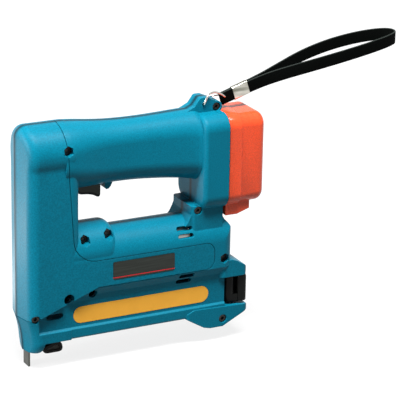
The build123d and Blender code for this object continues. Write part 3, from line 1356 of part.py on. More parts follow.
# Battery: case with the tower that goes into the holder, cells and terminals
with BuildPart() as battery_case:
    well_middle = (WELL_FOOT + WELL_HEAD) / 2
    tower_half = WELL_HALF - TOWER_FIT
    tower_height = WELL_HEAD - WELL_FOOT - 2 * TOWER_FIT
    tower_round = HOLDER_ROUND - WALL - TOWER_FIT
    with BuildSketch(across(TOWER_FRONT)):
        with Locations((0, well_middle)):
            RectangleRounded(2 * tower_half, tower_height, tower_round)
    extrude(amount=TOWER_LENGTH)
    collar_half = HOLDER_HALF - BATTERY_INSET
    collar_height = HOLDER_HEAD - HOLDER_FOOT - 2 * BATTERY_INSET
    with BuildSketch(across(BATTERY_FRONT)):
        with Locations((0, well_middle)):
            RectangleRounded(2 * collar_half, collar_height, HOLDER_ROUND - BATTERY_INSET)
    extrude(amount=BATTERY_COLLAR)
    body_half = collar_half - BATTERY_STEP
    body_height = collar_height - 2 * BATTERY_STEP
    with BuildSketch(across(BATTERY_FRONT + BATTERY_COLLAR)):
        with Locations((0, well_middle)):
            RectangleRounded(2 * body_half, body_height, HOLDER_ROUND - BATTERY_INSET - BATTERY_STEP)
    extrude(amount=BATTERY_DEPTH - BATTERY_COLLAR)
    fillet(battery_case.faces().sort_by(Axis.X)[-1].edges(), BATTERY_EDGE)
    base_foot = HOLDER_FOOT - BASE_DROP
    base_rear = BATTERY_FRONT + BASE_DEPTH
    profile(
        (
            (BATTERY_FRONT, WELL_FOOT),
            (BATTERY_FRONT, base_foot),
            (base_rear - 3 * BASE_SLOPE, base_foot),
            (base_rear, base_foot + BASE_SLOPE),
            (base_rear, WELL_FOOT),
        ),
        BASE_HALF,
    )
    with BuildSketch(across(TOWER_FRONT + BATTERY_WALL)):
        with Locations((0, well_middle)):
            RectangleRounded(
                2 * (tower_half - BATTERY_WALL),
                tower_height - 2 * BATTERY_WALL,
                tower_round - BATTERY_WALL,
            )
    extrude(amount=OVERALL_LENGTH - TOWER_FRONT - 2 * BATTERY_WALL, mode=Mode.SUBTRACT)
    for terminal_y in (-TERMINAL_OFFSET, TERMINAL_OFFSET):
        block(
            (TOWER_FRONT, TOWER_FRONT + BATTERY_WALL),
            (terminal_y - TERMINAL_HALF, terminal_y + TERMINAL_HALF),
            (TERMINAL_FOOT + TERMINAL_EDGE, TERMINAL_HEAD - TERMINAL_EDGE),
            Mode.SUBTRACT,
        )
save(battery_case, "battery_case")

with BuildPart() as cell_pack:
    cell_step = 2 * CELL_R + CELL_GAP
    rear_cell = OVERALL_LENGTH - BATTERY_WALL - CELL_GAP - CELL_R
    plate_z = (well_middle - CELL_PLATE / 2, well_middle + CELL_PLATE / 2)
    block((rear_cell - cell_step - CELL_R, rear_cell + CELL_R), (-cell_step / 2, cell_step / 2), plate_z)
    for cell_x in (rear_cell - cell_step, rear_cell):
        for cell_y in (-cell_step / 2, cell_step / 2):
            bar_z(cell_x, cell_y, (plate_z[0] - CELL_LENGTH, plate_z[1] + CELL_LENGTH), CELL_R)
save(cell_pack, "cell_pack")

with BuildPart() as battery_terminals:
    inner_wall = TOWER_FRONT + BATTERY_WALL
    pad_half = TERMINAL_HALF - TOWER_FIT
    block(
        (inner_wall, inner_wall + TERMINAL_PLATE),
        (-TERMINAL_OFFSET - TERMINAL_EDGE, TERMINAL_OFFSET + TERMINAL_EDGE),
        (TERMINAL_FOOT + TERMINAL_EDGE, TERMINAL_HEAD - TERMINAL_EDGE),
    )
    for terminal_y in (-TERMINAL_OFFSET, TERMINAL_OFFSET):
        block(
            (TOWER_FRONT + TOWER_FIT, inner_wall),
            (terminal_y - pad_half, terminal_y + pad_half),
            (TERMINAL_FOOT + TERMINAL_EDGE + TOWER_FIT, TERMINAL_HEAD - TERMINAL_EDGE - TOWER_FIT),
        )
save(battery_terminals, "battery_terminals")

with BuildPart() as terminal_block:
    block_rear = HOLDER_WELL + TERMINAL_THICK
    block_half = (-TERMINAL_BLOCK_HALF, TERMINAL_BLOCK_HALF)
    block((HOLDER_WELL, block_rear), block_half, (TERMINAL_FOOT, TERMINAL_HEAD))
    for terminal_y in (-TERMINAL_OFFSET, TERMINAL_OFFSET):
        block(
            (block_rear, TOWER_FRONT + TOWER_FIT - SLIDE_GAP),
            (terminal_y - pad_half, terminal_y + pad_half),
            (TERMINAL_FOOT + TERMINAL_EDGE + TOWER_FIT, TERMINAL_HEAD - TERMINAL_EDGE - TOWER_FIT),
        )
save(terminal_block, "terminal_block")

# Wrist strap on a wire ring through the lug
ring_rear_x, ring_rear_z = RING_REAR
ring_ends = []
ring_arms = []
for hand in (-1, 1):
    front_end = (NOSE_X + ring_x, hand * RING_HALF, BASE_Z + ring_z)
    rear_end = (NOSE_X + ring_rear_x, hand * RING_REAR_HALF, BASE_Z + ring_rear_z)
    crown = (NOSE_X + RING_CROWN[0], hand * RING_HALF, BASE_Z + RING_CROWN[1])
    with BuildPart() as ring_arm:
        with BuildLine() as arm:
            ThreePointArc(front_end, crown, rear_end)
        with BuildSketch(Plane(origin=arm.line @ 0, z_dir=arm.line % 0)):
            Circle(RING_WIRE_R)
        sweep()
    ring_arms.append(ring_arm.part)
    ring_ends += [front_end, rear_end]

with BuildPart() as strap_ring:
    with Locations(*ring_ends):
        Sphere(RING_WIRE_R + RING_BEND)
    add(ring_arms[0])
    add(ring_arms[1])
    front_bar = RING_HALF - RING_WIRE_R / 2
    rear_bar = RING_REAR_HALF - RING_WIRE_R / 2
    bar_y(ring_x, (-front_bar, front_bar), ring_z, RING_WIRE_R)
    bar_y(ring_rear_x, (-rear_bar, rear_bar), ring_rear_z, RING_WIRE_R)
save(strap_ring, "strap_ring")

near_route = [(x, y) for x, y, z in STRAP_ROUTE]
strap_plan = near_route + [(x, -y) for x, y in reversed(near_route)]
strap_rise = [(x, z) for x, y, z in STRAP_ROUTE]
strap_rise.append((strap_rise[-1][0] + STRAP_WIDTH, strap_rise[-1][1] + STRAP_LAYER))

with BuildPart() as strap:
    with BuildSketch(level(HOLDER_HEAD)):
        with BuildLine():
            FilletPolyline(*strap_plan, radius=bend_radii(strap_plan))
        trace(line_width=STRAP_THICK)
        with Locations((STRAP_ROUTE[0][0], 0)):
            Rectangle(STRAP_THICK, 2 * STRAP_LAYER + STRAP_THICK)
    extrude(amount=THROUGH)
    extrude(rising_band(STRAP_WIDTH), amount=THROUGH, both=True, mode=Mode.INTERSECT)
    bar_y(ring_rear_x, (-THROUGH, THROUGH), ring_rear_z, RING_HOLE_R, Mode.SUBTRACT)
save(strap, "strap")

with BuildPart() as strap_ferrule:
    inner_y = STRAP_LAYER + STRAP_THICK / 2 + FERRULE_FIT
    inner_width = STRAP_WIDTH + 2 * FERRULE_FIT
    extrude(rising_band(inner_width + 2 * FERRULE_WALL), amount=inner_y + FERRULE_WALL, both=True)
    extrude(rising_band(inner_width), amount=inner_y, both=True, mode=Mode.SUBTRACT)
    ferrule_z = (HOLDER_HEAD - WALL, HOLDER_HEAD + THROUGH)
    block((FERRULE_FRONT, FERRULE_REAR), (-THROUGH, THROUGH), ferrule_z, Mode.INTERSECT)
save(strap_ferrule, "strap_ferrule")
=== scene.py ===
"""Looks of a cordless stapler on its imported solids: mouldings, screws, springs, battery and strap."""

import math

import bmesh
import bpy
import numpy as np
from mathutils import Matrix, Vector


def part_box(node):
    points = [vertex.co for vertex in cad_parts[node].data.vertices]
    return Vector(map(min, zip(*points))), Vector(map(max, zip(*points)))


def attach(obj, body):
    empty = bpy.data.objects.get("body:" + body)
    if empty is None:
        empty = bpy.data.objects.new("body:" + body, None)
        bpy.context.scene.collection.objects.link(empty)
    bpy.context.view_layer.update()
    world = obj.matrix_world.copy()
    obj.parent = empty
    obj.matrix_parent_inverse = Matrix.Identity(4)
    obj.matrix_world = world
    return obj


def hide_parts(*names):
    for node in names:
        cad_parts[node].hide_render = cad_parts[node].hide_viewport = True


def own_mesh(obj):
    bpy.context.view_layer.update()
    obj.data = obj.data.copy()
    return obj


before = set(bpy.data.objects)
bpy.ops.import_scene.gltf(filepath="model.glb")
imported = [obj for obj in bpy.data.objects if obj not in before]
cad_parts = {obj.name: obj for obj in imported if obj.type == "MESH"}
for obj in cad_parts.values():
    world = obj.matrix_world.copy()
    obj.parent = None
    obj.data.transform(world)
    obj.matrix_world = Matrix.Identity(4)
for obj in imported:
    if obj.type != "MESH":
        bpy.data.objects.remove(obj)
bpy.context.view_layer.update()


# Housing halves and drive covers
# Two mirror-image clamshell mouldings in glass-filled nylon with a spark-eroded grain, and two L-shaped
# covers over the drive column, whose front faces are polished by wear. They meet in the middle plane and
# are drawn together by through bolts.
WHITE = (1, 1, 1)
NOISE_MIDDLE = (0.3, 0.7)
EDGE_RADIUS = 0.0007
EDGE_SAMPLES = 8
GRAIN_CONTRAST = 0.14
GRAIN_STRENGTH = 0.35
PATCH_SIZE = 0.035
PATCH_SHADE = 0.94
PATCH_POLISH = 0.04
PATCH_DULLING = 0.06
SEAM_SHADE = 0.08
SEAM_CORE = 0.00010
SEAM_EDGE = 0.00026


def start_finish(name):
    """New material with its node tree, links and surface shader."""
    material = bpy.data.materials.new(name)
    material.use_nodes = True
    tree = material.node_tree
    return material, tree.nodes, tree.links, tree.nodes["Principled BSDF"]


def noise_on(nodes, links, size, detail, stretch=(1, 1, 1)):
    """Noise in object space with grains about size metres across, stretched by a scale on each axis."""
    coordinates = nodes.new("ShaderNodeTexCoord")
    mapping = nodes.new("ShaderNodeMapping")
    mapping.inputs["Scale"].default_value = stretch
    noise = nodes.new("ShaderNodeTexNoise")
    noise.inputs["Scale"].default_value = 1 / size
    noise.inputs["Detail"].default_value = detail
    links.new(coordinates.outputs["Object"], mapping.inputs["Vector"])
    links.new(mapping.outputs["Vector"], noise.inputs["Vector"])
    return noise.outputs["Fac"]


def scaled(colour, share):
    """Colour times a share."""
    return tuple(share * c for c in colour)


def shades(nodes, links, factor, dark, light, low=0.35, high=0.65):
    """Colour that runs from dark to light as a factor goes from low to high."""
    ramp = nodes.new("ShaderNodeValToRGB")
    ramp.color_ramp.elements[0].position = low
    ramp.color_ramp.elements[0].color = (*dark, 1)
    ramp.color_ramp.elements[1].position = high
    ramp.color_ramp.elements[1].color = (*light, 1)
    links.new(factor, ramp.inputs["Fac"])
    return ramp.outputs["Color"]


def span(nodes, links, value, start, end, low, high, smooth=False):
    """Value that runs from low to high as another goes from start to end."""
    between = nodes.new("ShaderNodeMapRange")
    if smooth:
        between.interpolation_type = "SMOOTHSTEP"
    between.inputs["From Min"].default_value = start
    between.inputs["From Max"].default_value = end
    between.inputs["To Min"].default_value = low
    between.inputs["To Max"].default_value = high
    links.new(value, between.inputs["Value"])
    return between.outputs["Result"]


def figure(nodes, links, operation, first, second=0.0):
    """Result of one operation on a socket and a second socket or plain number."""
    node = nodes.new("ShaderNodeMath")
    node.operation = operation
    links.new(first, node.inputs[0])
    if isinstance(second, float):
        node.inputs[1].default_value = second
    else:
        links.new(second, node.inputs[1])
    return node.outputs[0]


def darken(nodes, links, colour, amount):
    """Colour multiplied by a grey amount."""
    mix = nodes.new("ShaderNodeMix")
    mix.data_type = "RGBA"
    mix.blend_type = "MULTIPLY"
    mix.inputs["Factor"].default_value = 1
    links.new(colour, mix.inputs["A"])
    links.new(amount, mix.inputs["B"])
    return mix.outputs["Result"]


def object_axis(nodes, links, axis):
    """One coordinate of the place in object space, such as Y."""
    place = nodes.new("ShaderNodeTexCoord")
    parts = nodes.new("ShaderNodeSeparateXYZ")
    links.new(place.outputs["Object"], parts.inputs["Vector"])
    return parts.outputs[axis]


def relief(nodes, links, height, strength, depth, shader, edge=0.0):
    """Bump of a given depth in metres on a shader, over edges that look rounded to a radius."""
    bump = nodes.new("ShaderNodeBump")
    bump.inputs["Strength"].default_value = strength
    bump.inputs["Distance"].default_value = depth
    links.new(height, bump.inputs["Height"])
    if edge:
        rounded = nodes.new("ShaderNodeBevel")
        rounded.samples = EDGE_SAMPLES
        rounded.inputs["Radius"].default_value = edge
        links.new(rounded.outputs["Normal"], bump.inputs["Normal"])
    links.new(bump.outputs["Normal"], shader.inputs["Normal"])


def moulding(name, colour, roughness, grain, depth, gloss=0.12, seam=False):
    """Moulded plastic: a fine grain in colour and height, patches polished by handling and, where it is
    asked for, a dark parting line in the middle plane."""
    material, nodes, links, shader = start_finish(name)
    fine = noise_on(nodes, links, grain, detail=3)
    broad = noise_on(nodes, links, PATCH_SIZE, detail=2)
    dark = scaled(colour, 1 - GRAIN_CONTRAST)
    light = scaled(colour, 1 + GRAIN_CONTRAST)
    tint = shades(nodes, links, fine, dark, light)
    tint = darken(nodes, links, tint, shades(nodes, links, broad, scaled(WHITE, PATCH_SHADE), WHITE))
    if seam:
        distance = figure(nodes, links, "ABSOLUTE", object_axis(nodes, links, "Y"))
        line = shades(nodes, links, distance, scaled(WHITE, SEAM_SHADE), WHITE, SEAM_CORE, SEAM_EDGE)
        tint = darken(nodes, links, tint, line)
    links.new(tint, shader.inputs["Base Color"])
    polished = roughness - PATCH_POLISH
    dulled = roughness + PATCH_DULLING
    links.new(span(nodes, links, broad, *NOISE_MIDDLE, polished, dulled), shader.inputs["Roughness"])
    shader.inputs["Specular IOR Level"].default_value = gloss
    relief(nodes, links, fine, GRAIN_STRENGTH, depth, shader, EDGE_RADIUS)
    return material


def dress(material, *names):
    """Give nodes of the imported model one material."""
    for name in names:
        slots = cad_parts[name].data.materials
        slots.clear()
        slots.append(material)


TEAL = (0.0008, 0.160, 0.245)
TEAL_ROUGHNESS = 0.42
TEAL_GLOSS = 0.10
teal_moulding = moulding("teal_moulding", TEAL, TEAL_ROUGHNESS, grain=0.0009, depth=0.00008,
                         gloss=TEAL_GLOSS, seam=True)
dress(teal_moulding, "left_housing", "right_housing")

NOSE_FRONT = -0.11325
WORN_DEPTH = 0.0032
UNWORN_DEPTH = 0.0060
WORN_GLOSS = 0.34
cover_moulding = moulding("cover_moulding", TEAL, TEAL_ROUGHNESS, grain=0.0012, depth=0.00022,
                          gloss=TEAL_GLOSS, seam=True)
cover_nodes = cover_moulding.node_tree.nodes
cover_links = cover_moulding.node_tree.links
cover_x = object_axis(cover_nodes, cover_links, "X")
cover_gloss = span(cover_nodes, cover_links, cover_x, NOSE_FRONT + WORN_DEPTH, NOSE_FRONT + UNWORN_DEPTH,
                   WORN_GLOSS, TEAL_GLOSS, smooth=True)
cover_links.new(cover_gloss, cover_nodes["Principled BSDF"].inputs["Specular IOR Level"])
dress(cover_moulding, "left_cover", "right_cover")


# Name foil and label film
# A satin foil with a thin red rule and a glossy amber film, both bare, stuck in shallow recesses on the
# left half. The foil is brushed lengthwise, and the film is a little cloudy.
def blend(nodes, links, factor, first, second):
    """Colour that goes from a socket's colour to a fixed one by a factor."""
    mix = nodes.new("ShaderNodeMix")
    mix.data_type = "RGBA"
    links.new(factor, mix.inputs["Factor"])
    links.new(first, mix.inputs["A"])
    mix.inputs["B"].default_value = (*second, 1)
    return mix.outputs["Result"]


FOIL_DARK = (0.0176, 0.0208, 0.0176)
FOIL_LIGHT = (0.0275, 0.0325, 0.0275)
FOIL_BRUSHING = 0.0012
RULE_RED = (0.62, 0.02, 0.03)
RULE_FOOT = 0.0014
RULE_HEAD = 0.0022
foil_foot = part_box("nameplate")[0].z
name_foil, foil_nodes, foil_links, foil_shader = start_finish("name_foil")
foil_height = object_axis(foil_nodes, foil_links, "Z")
over_foot = figure(foil_nodes, foil_links, "GREATER_THAN", foil_height, foil_foot + RULE_FOOT)
under_head = figure(foil_nodes, foil_links, "LESS_THAN", foil_height, foil_foot + RULE_HEAD)
in_rule = figure(foil_nodes, foil_links, "MULTIPLY", over_foot, under_head)
brushed = noise_on(foil_nodes, foil_links, FOIL_BRUSHING, detail=3, stretch=(0.05, 1, 1))
foil_ground = shades(foil_nodes, foil_links, brushed, FOIL_DARK, FOIL_LIGHT)
foil_tint = blend(foil_nodes, foil_links, in_rule, foil_ground, RULE_RED)
foil_roughness = span(foil_nodes, foil_links, brushed, *NOISE_MIDDLE, low=0.32, high=0.44)
foil_links.new(foil_tint, foil_shader.inputs["Base Color"])
foil_links.new(foil_roughness, foil_shader.inputs["Roughness"])
foil_shader.inputs["Specular IOR Level"].default_value = 0.20
dress(name_foil, "nameplate")

AMBER_DARK = (0.94, 0.447, 0.049)
AMBER_LIGHT = (0.98, 0.470, 0.053)
FILM_CLOUD = 0.012
FILM_GRAIN = 0.0009
amber_film, film_nodes, film_links, film_shader = start_finish("amber_film")
film_cloud = noise_on(film_nodes, film_links, FILM_CLOUD, detail=3)
film_grain = noise_on(film_nodes, film_links, FILM_GRAIN, detail=2)
film_tint = shades(film_nodes, film_links, film_cloud, AMBER_DARK, AMBER_LIGHT)
film_roughness = span(film_nodes, film_links, film_cloud, *NOISE_MIDDLE, low=0.30, high=0.40)
film_links.new(film_tint, film_shader.inputs["Base Color"])
film_links.new(film_roughness, film_shader.inputs["Roughness"])
film_shader.inputs["Specular IOR Level"].default_value = 0.15
relief(film_nodes, film_links, film_grain, strength=0.12, depth=0.00003, shader=film_shader)
dress(amber_film, "label")


# Through bolts, nuts and case screws
# Socket-head screws in blackened steel. The bolts run through both halves to hexagonal nuts set in deep
# pockets, and the other screws hold the lug, the neck, the foot and the nose.
STAIN = (0.82, 0.80, 0.78)
STAIN_SIZE = 0.010
STREAK_POLISH = 0.06
STREAK_DULLING = 0.10


def steel(name, dark, light, roughness, brush=(1, 1, 1), grain=0.0015):
    """Bare steel: streaks along the brushed direction in colour, gloss and height, and broad stains."""
    material, nodes, links, shader = start_finish(name)
    streaks = noise_on(nodes, links, grain, detail=4, stretch=brush)
    stain = noise_on(nodes, links, STAIN_SIZE, detail=3)
    tint = shades(nodes, links, streaks, dark, light)
    tint = darken(nodes, links, tint, shades(nodes, links, stain, STAIN, WHITE))
    links.new(tint, shader.inputs["Base Color"])
    shader.inputs["Metallic"].default_value = 1
    polished = roughness - STREAK_POLISH
    dulled = roughness + STREAK_DULLING
    links.new(span(nodes, links, streaks, *NOISE_MIDDLE, polished, dulled), shader.inputs["Roughness"])
    relief(nodes, links, streaks, strength=0.2, depth=0.00002, shader=shader)
    return material


def surface(name, grids, loop_rows=False, angle=40):
    """Mesh over grids of points: each point joins its next row and column, the columns close on
    themselves, and the first and last rows close with one face unless the rows close on themselves too."""
    points = []
    faces = []
    start = 0
    for grid in grids:
        rows, columns = grid.shape[:2]
        joins = rows if loop_rows else rows - 1
        row, column = np.meshgrid(np.arange(joins), np.arange(columns), indexing="ij")
        next_row = (row + 1) % rows
        next_column = (column + 1) % columns
        corners = [row * columns + column, row * columns + next_column,
                   next_row * columns + next_column, next_row * columns + column]
        faces += (start + np.stack(corners, axis=-1).reshape(-1, 4)).tolist()
        if not loop_rows:
            ring = np.arange(columns)
            faces.append((start + ring[::-1]).tolist())
            faces.append((start + (rows - 1) * columns + ring).tolist())
        points.append(grid.reshape(-1, 3))
        start += rows * columns
    mesh = bpy.data.meshes.new(name)
    mesh.from_pydata(np.concatenate(points).tolist(), [], faces)
    shell = bmesh.new()
    shell.from_mesh(mesh)
    bmesh.ops.recalc_face_normals(shell, faces=shell.faces)
    shell.to_mesh(mesh)
    shell.free()
    mesh.shade_smooth()
    mesh.set_sharp_from_angle(angle=math.radians(angle))
    piece = bpy.data.objects.new(name, mesh)
    bpy.context.scene.collection.objects.link(piece)
    return piece


def fit(piece, body, node, slot, *materials):
    """Give a piece its materials, ride it on a body and let it stand for a node."""
    for material in materials:
        piece.data.materials.append(material)
    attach(piece, body)
    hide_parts(node)


HEAD_RADIUS = 0.0036
HEAD_HEIGHT = 0.0040
HEAD_CROWN = 0.0006
HEAD_STEP = 0.0002
KNURL_DEPTH = 0.00006
KNURL_COUNT = 24
SHANK_RADIUS = 0.0020
SHANK_TAPER = 0.0005
SHANK_TIP = 0.0006
SOCKET_FLATS = 0.0030
SOCKET_DEPTH = 0.0024
SOCKET_LIP = 0.0003
SOCKET_CENTRE = 0.02
SCREW_SIDES = 48


def socket_screw(x, z, face, tip):
    """Screw along y as a grid of stations by angle: a hexagon in the socket, a circle on head and shank.
    A hexagon's radius is half its flats over the cosine of the angle from the nearest flat's middle."""
    angle = np.linspace(0, 2 * math.pi, SCREW_SIDES, endpoint=False)
    hexagon = SOCKET_FLATS / 2 / np.cos(angle % (math.pi / 3) - math.pi / 6)
    circle = np.ones_like(angle)
    knurl = HEAD_RADIUS - KNURL_DEPTH * (1 + np.cos(KNURL_COUNT * angle))
    length = abs(tip - face)
    stations = [
        (SOCKET_DEPTH, SOCKET_CENTRE * hexagon),
        (SOCKET_DEPTH, hexagon),
        (SOCKET_LIP, hexagon),
        (0.0, hexagon + SOCKET_LIP),
        (0.0, (HEAD_RADIUS - HEAD_CROWN) * circle),
        (HEAD_STEP, (HEAD_RADIUS - HEAD_STEP) * circle),
        (HEAD_CROWN, (HEAD_RADIUS - HEAD_STEP / 10) * circle),
        (HEAD_CROWN + HEAD_STEP, knurl),
        (HEAD_HEIGHT - 2 * HEAD_STEP, knurl),
        (HEAD_HEIGHT - HEAD_STEP / 2, (HEAD_RADIUS - HEAD_STEP) * circle),
        (HEAD_HEIGHT, SHANK_RADIUS * circle),
        (length - SHANK_TIP, SHANK_RADIUS * circle),
        (length, (SHANK_RADIUS - SHANK_TAPER) * circle),
    ]
    depth = np.array([station[0] for station in stations])[:, None]
    radius = np.stack([station[1] for station in stations])
    inward = math.copysign(1, tip - face)
    grid = np.empty((*radius.shape, 3))
    grid[..., 0] = x + radius * np.cos(angle)
    grid[..., 1] = face + inward * depth
    grid[..., 2] = z + radius * np.sin(angle)
    return grid


BASE_PLANE = 0.013
blackened_steel = steel("blackened_steel", (0.022, 0.022, 0.021), (0.060, 0.058, 0.054), roughness=0.34,
                        grain=0.0008)


def screws(node, places):
    """Screws of one node: x from the nose's front, z from the base plane, and the head's face and the tip
    across, all in millimetres."""
    grids = [
        socket_screw(NOSE_FRONT + x / 1000, BASE_PLANE + z / 1000, face / 1000, tip / 1000)
        for x, z, face, tip in places
    ]
    fit(surface(f"{node}_heads", grids), "housing", node, "screw_steel", blackened_steel)


screws("through_bolts", (
    (39.2, 183.5, 21.0, -19.2),
    (56.5, 100.0, 15.9, -14.1),
    (79.1, 101.7, 14.7, -12.9),
    (189.4, 65.1, 19.5, -17.7),
))
screws("lug_screw", ((186.2, 200.6, -6.5, 5.25),))
screws("neck_screw", ((164.0, 112.2, -19.0, 14.0),))
screws("foot_screw", ((189.7, 7.2, -20.5, 15.05),))
screws("front_screws", ((10.0, 36.0, -19.5, -9.5), (10.0, 36.0, 19.5, 9.5)))
dress(blackened_steel, "bolt_nuts")


# Nose
# A stamped contact arm in tempered steel and a ground front plate, a die-cast block that guides the
# driver, a rubber bumper, and a moulded shoe with padded sides under the nose that rests on the work.
BRUSHED_UPRIGHT = (1, 1, 0.06)
black_moulding = moulding("black_moulding", (0.0050, 0.0056, 0.0052), roughness=0.26, grain=0.0008,
                          depth=0.00003, gloss=0.09)
ground_steel = steel("ground_steel", (0.42, 0.42, 0.39), (0.66, 0.65, 0.62), roughness=0.30,
                     brush=BRUSHED_UPRIGHT)
cast_alloy = steel("cast_alloy", (0.40, 0.40, 0.40), (0.55, 0.55, 0.55), roughness=0.48, grain=0.0006)
bumper_rubber = moulding("bumper_rubber", (0.020, 0.020, 0.020), roughness=0.62, grain=0.0010,
                         depth=0.00008)
tempered_steel = steel("tempered_steel", (0.060, 0.062, 0.056), (0.13, 0.135, 0.122), roughness=0.34,
                       brush=BRUSHED_UPRIGHT)
dress(tempered_steel, "contact_arm")
dress(ground_steel, "nose_plate")
dress(cast_alloy, "driver_guide", "spring_cap")
dress(bumper_rubber, "bumper")

CORNER_STEPS = 5


def eased_outline(outline):
    """Closed outline with each corner eased: points along a quadratic B-spline of its corners."""
    before = (outline + np.roll(outline, 1, axis=0)) / 2
    after = (outline + np.roll(outline, -1, axis=0)) / 2
    t = np.linspace(0, 1, CORNER_STEPS, endpoint=False)[None, :, None]
    curve = (1 - t) ** 2 * before[:, None] + 2 * t * (1 - t) * outline[:, None] + t ** 2 * after[:, None]
    return curve.reshape(-1, 2)


def placed(points):
    """Places in metres of points in millimetres from the nose's front, middle plane and base plane."""
    return points / 1000 + (NOSE_FRONT, 0, BASE_PLANE)


SHOE_HALF = 14.5
PAD_SINK = 0.9
shoe_outline = np.array([
    (28.2, 12.0), (27.4, 8.6), (22.6, 7.6), (20.0, 6.0), (20.0, 1.4), (22.0, 0.0),
    (29.0, 0.0), (36.4, 0.0), (38.0, 2.6), (37.4, 7.0), (35.8, 8.6), (35.6, 12.0), (32.0, 12.0),
])
shoe_middle = np.array([29.6, 3.9])
shoe_side = [
    (-SHOE_HALF + PAD_SINK, 0.62, 0.26),
    (-SHOE_HALF + PAD_SINK, 0.64, 0.28),
    (-SHOE_HALF, 0.68, 0.34),
    (-SHOE_HALF, 0.92, 0.90),
    (-SHOE_HALF + 0.4, 0.98, 0.975),
    (-SHOE_HALF + 1.2, 1.0, 1.0),
]
other_side = [(-across, *shares) for across, *shares in shoe_side[::-1]]
shoe_stations = np.array(shoe_side + other_side)
shoe_loop = eased_outline(shoe_outline) - shoe_middle
shoe_grid = np.empty((len(shoe_stations), len(shoe_loop), 3))
shoe_grid[..., 0] = shoe_middle[0] + shoe_stations[:, 1:2] * shoe_loop[:, 0]
shoe_grid[..., 1] = shoe_stations[:, 0:1]
shoe_grid[..., 2] = shoe_middle[1] + shoe_stations[:, 2:3] * shoe_loop[:, 1]
shoe_pad = moulding("shoe_pad", (0.050, 0.055, 0.050), roughness=0.50, grain=0.0010, depth=0.00005)
shoe_piece = surface("nose_shoe", [placed(shoe_grid)])
pad_faces = np.zeros(len(shoe_piece.data.polygons), dtype=np.int32)
pad_faces[:len(shoe_loop)] = 1
pad_faces[(len(shoe_stations) - 2) * len(shoe_loop):] = 1
shoe_piece.data.polygons.foreach_set("material_index", pad_faces)
fit(shoe_piece, "housing", "nose_foot", "black_plastic", black_moulding, shoe_pad)


# Contact spring and drive springs
# Wound compression springs with closed ends: a light one that returns the contact arm, and two strong
# ones on the guide rods that throw the plunger down.
TURN_STEPS = 28
WIRE_SIDES = 10


def coil(centre, low, high, outer, wire, turns, along):
    """Round wire wound on a helix: height rises evenly between one flat turn at each end. centre is the
    axis's place, outer the outer radius, wire the wire's thickness and along the number of the axis."""
    turn = np.linspace(0, turns, int(turns * TURN_STEPS) + 1)[:, None]
    around = np.linspace(0, 2 * math.pi, WIRE_SIDES, endpoint=False)
    rise = np.clip((turn - 1) / (turns - 2), 0, 1)
    flat_step = wire * (np.clip(turn, 0, 1) + np.clip(turn - turns + 1, 0, 1))
    height = low + wire / 2 + flat_step + (high - low - 3 * wire) * rise
    radius = outer - wire / 2 + wire / 2 * np.cos(around)
    others = [axis for axis in range(3) if axis != along]
    grid = np.empty((turn.size, around.size, 3))
    grid[..., along] = height + wire / 2 * np.sin(around)
    grid[..., others[0]] = centre[others[0]] + radius * np.cos(2 * math.pi * turn)
    grid[..., others[1]] = centre[others[1]] + radius * np.sin(2 * math.pi * turn)
    return grid


spring_wire = steel("spring_wire", (0.28, 0.28, 0.28), (0.46, 0.46, 0.45), roughness=0.32, grain=0.0006)


def spring(node, outer, wire, turns, along, body):
    """Spring in the space of its node, with a mesh of its own."""
    low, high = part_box(node)
    centre = (low + high) / 2
    piece = surface(f"{node}_coil", [coil(centre, low[along], high[along], outer, wire, turns, along)])
    fit(piece, body, node, "spring_steel", spring_wire)
    axis = Vector((0, 0, 0))
    axis[along] = 1
    anchor = centre.copy()
    anchor[along] = high[along]
    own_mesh(piece)


ALONG_X = 0
ALONG_Z = 2
spring("contact_spring", outer=0.0020, wire=0.0008, turns=9, along=ALONG_Z, body="housing")
for drive_spring in ("left_drive_spring", "right_drive_spring"):
    spring(drive_spring, outer=0.0070, wire=0.0022, turns=14, along=ALONG_Z, body="housing")


# Plunger, driver, rods and gear train
# Hardened and oiled steel: the crank gear's roller lifts the plunger on its rods, and the motor drives
# the crank through two spur stages behind a sealed gear head.
oiled_steel = steel("oiled_steel", (0.30, 0.29, 0.27), (0.46, 0.45, 0.42), roughness=0.30, grain=0.0010)
zinc_can = steel("zinc_can", (0.46, 0.46, 0.43), (0.62, 0.61, 0.57), roughness=0.36, brush=(0.08, 1, 1))
dress(oiled_steel, "plunger", "crank_gear", "crank_roller")
dress(oiled_steel, "intermediate_gear", "drive_pinion", "gear_plate")
dress(ground_steel, "driver_blade", "left_guide_rod", "right_guide_rod")
dress(zinc_can, "motor", "gear_head")


# Trigger, switch and lead
# A moulded trigger with a rounded finger face turns on a steel pin and presses the button of a sealed
# switch, and an insulated lead runs to the motor.
TRIGGER_HALF = 8.0
TRIGGER_EDGE = 3.0
EDGE_STEPS = 7
ROUNDING_TOP = 145.0
ROUNDING_FADE = 8.0
ROUNDING_FRONT = 72.0
ROUNDING_RUN = 4.0
trigger_outline = np.array([
    (54.6, 156.0), (54.6, 150.0), (54.6, 145.0), (55.6, 139.0), (57.5, 137.4), (62.0, 137.0),
    (66.0, 136.5), (70.0, 135.4), (73.4, 133.4), (75.2, 133.0), (76.4, 134.0), (76.6, 137.0),
    (76.6, 147.0), (76.6, 152.0), (75.0, 156.0),
])
trigger_loop = eased_outline(trigger_outline)
edge_turn = np.radians(np.linspace(90, 0, EDGE_STEPS))
edge_across = TRIGGER_HALF - TRIGGER_EDGE * (1 - np.sin(edge_turn))
edge_inset = TRIGGER_EDGE * (1 - np.cos(edge_turn))
trigger_across = np.concatenate([-edge_across, edge_across[::-1]])[:, None]
trigger_inset = np.concatenate([edge_inset, edge_inset[::-1]])[:, None]
low_share = np.clip((ROUNDING_TOP - trigger_loop[:, 1]) / ROUNDING_FADE, 0, 1)
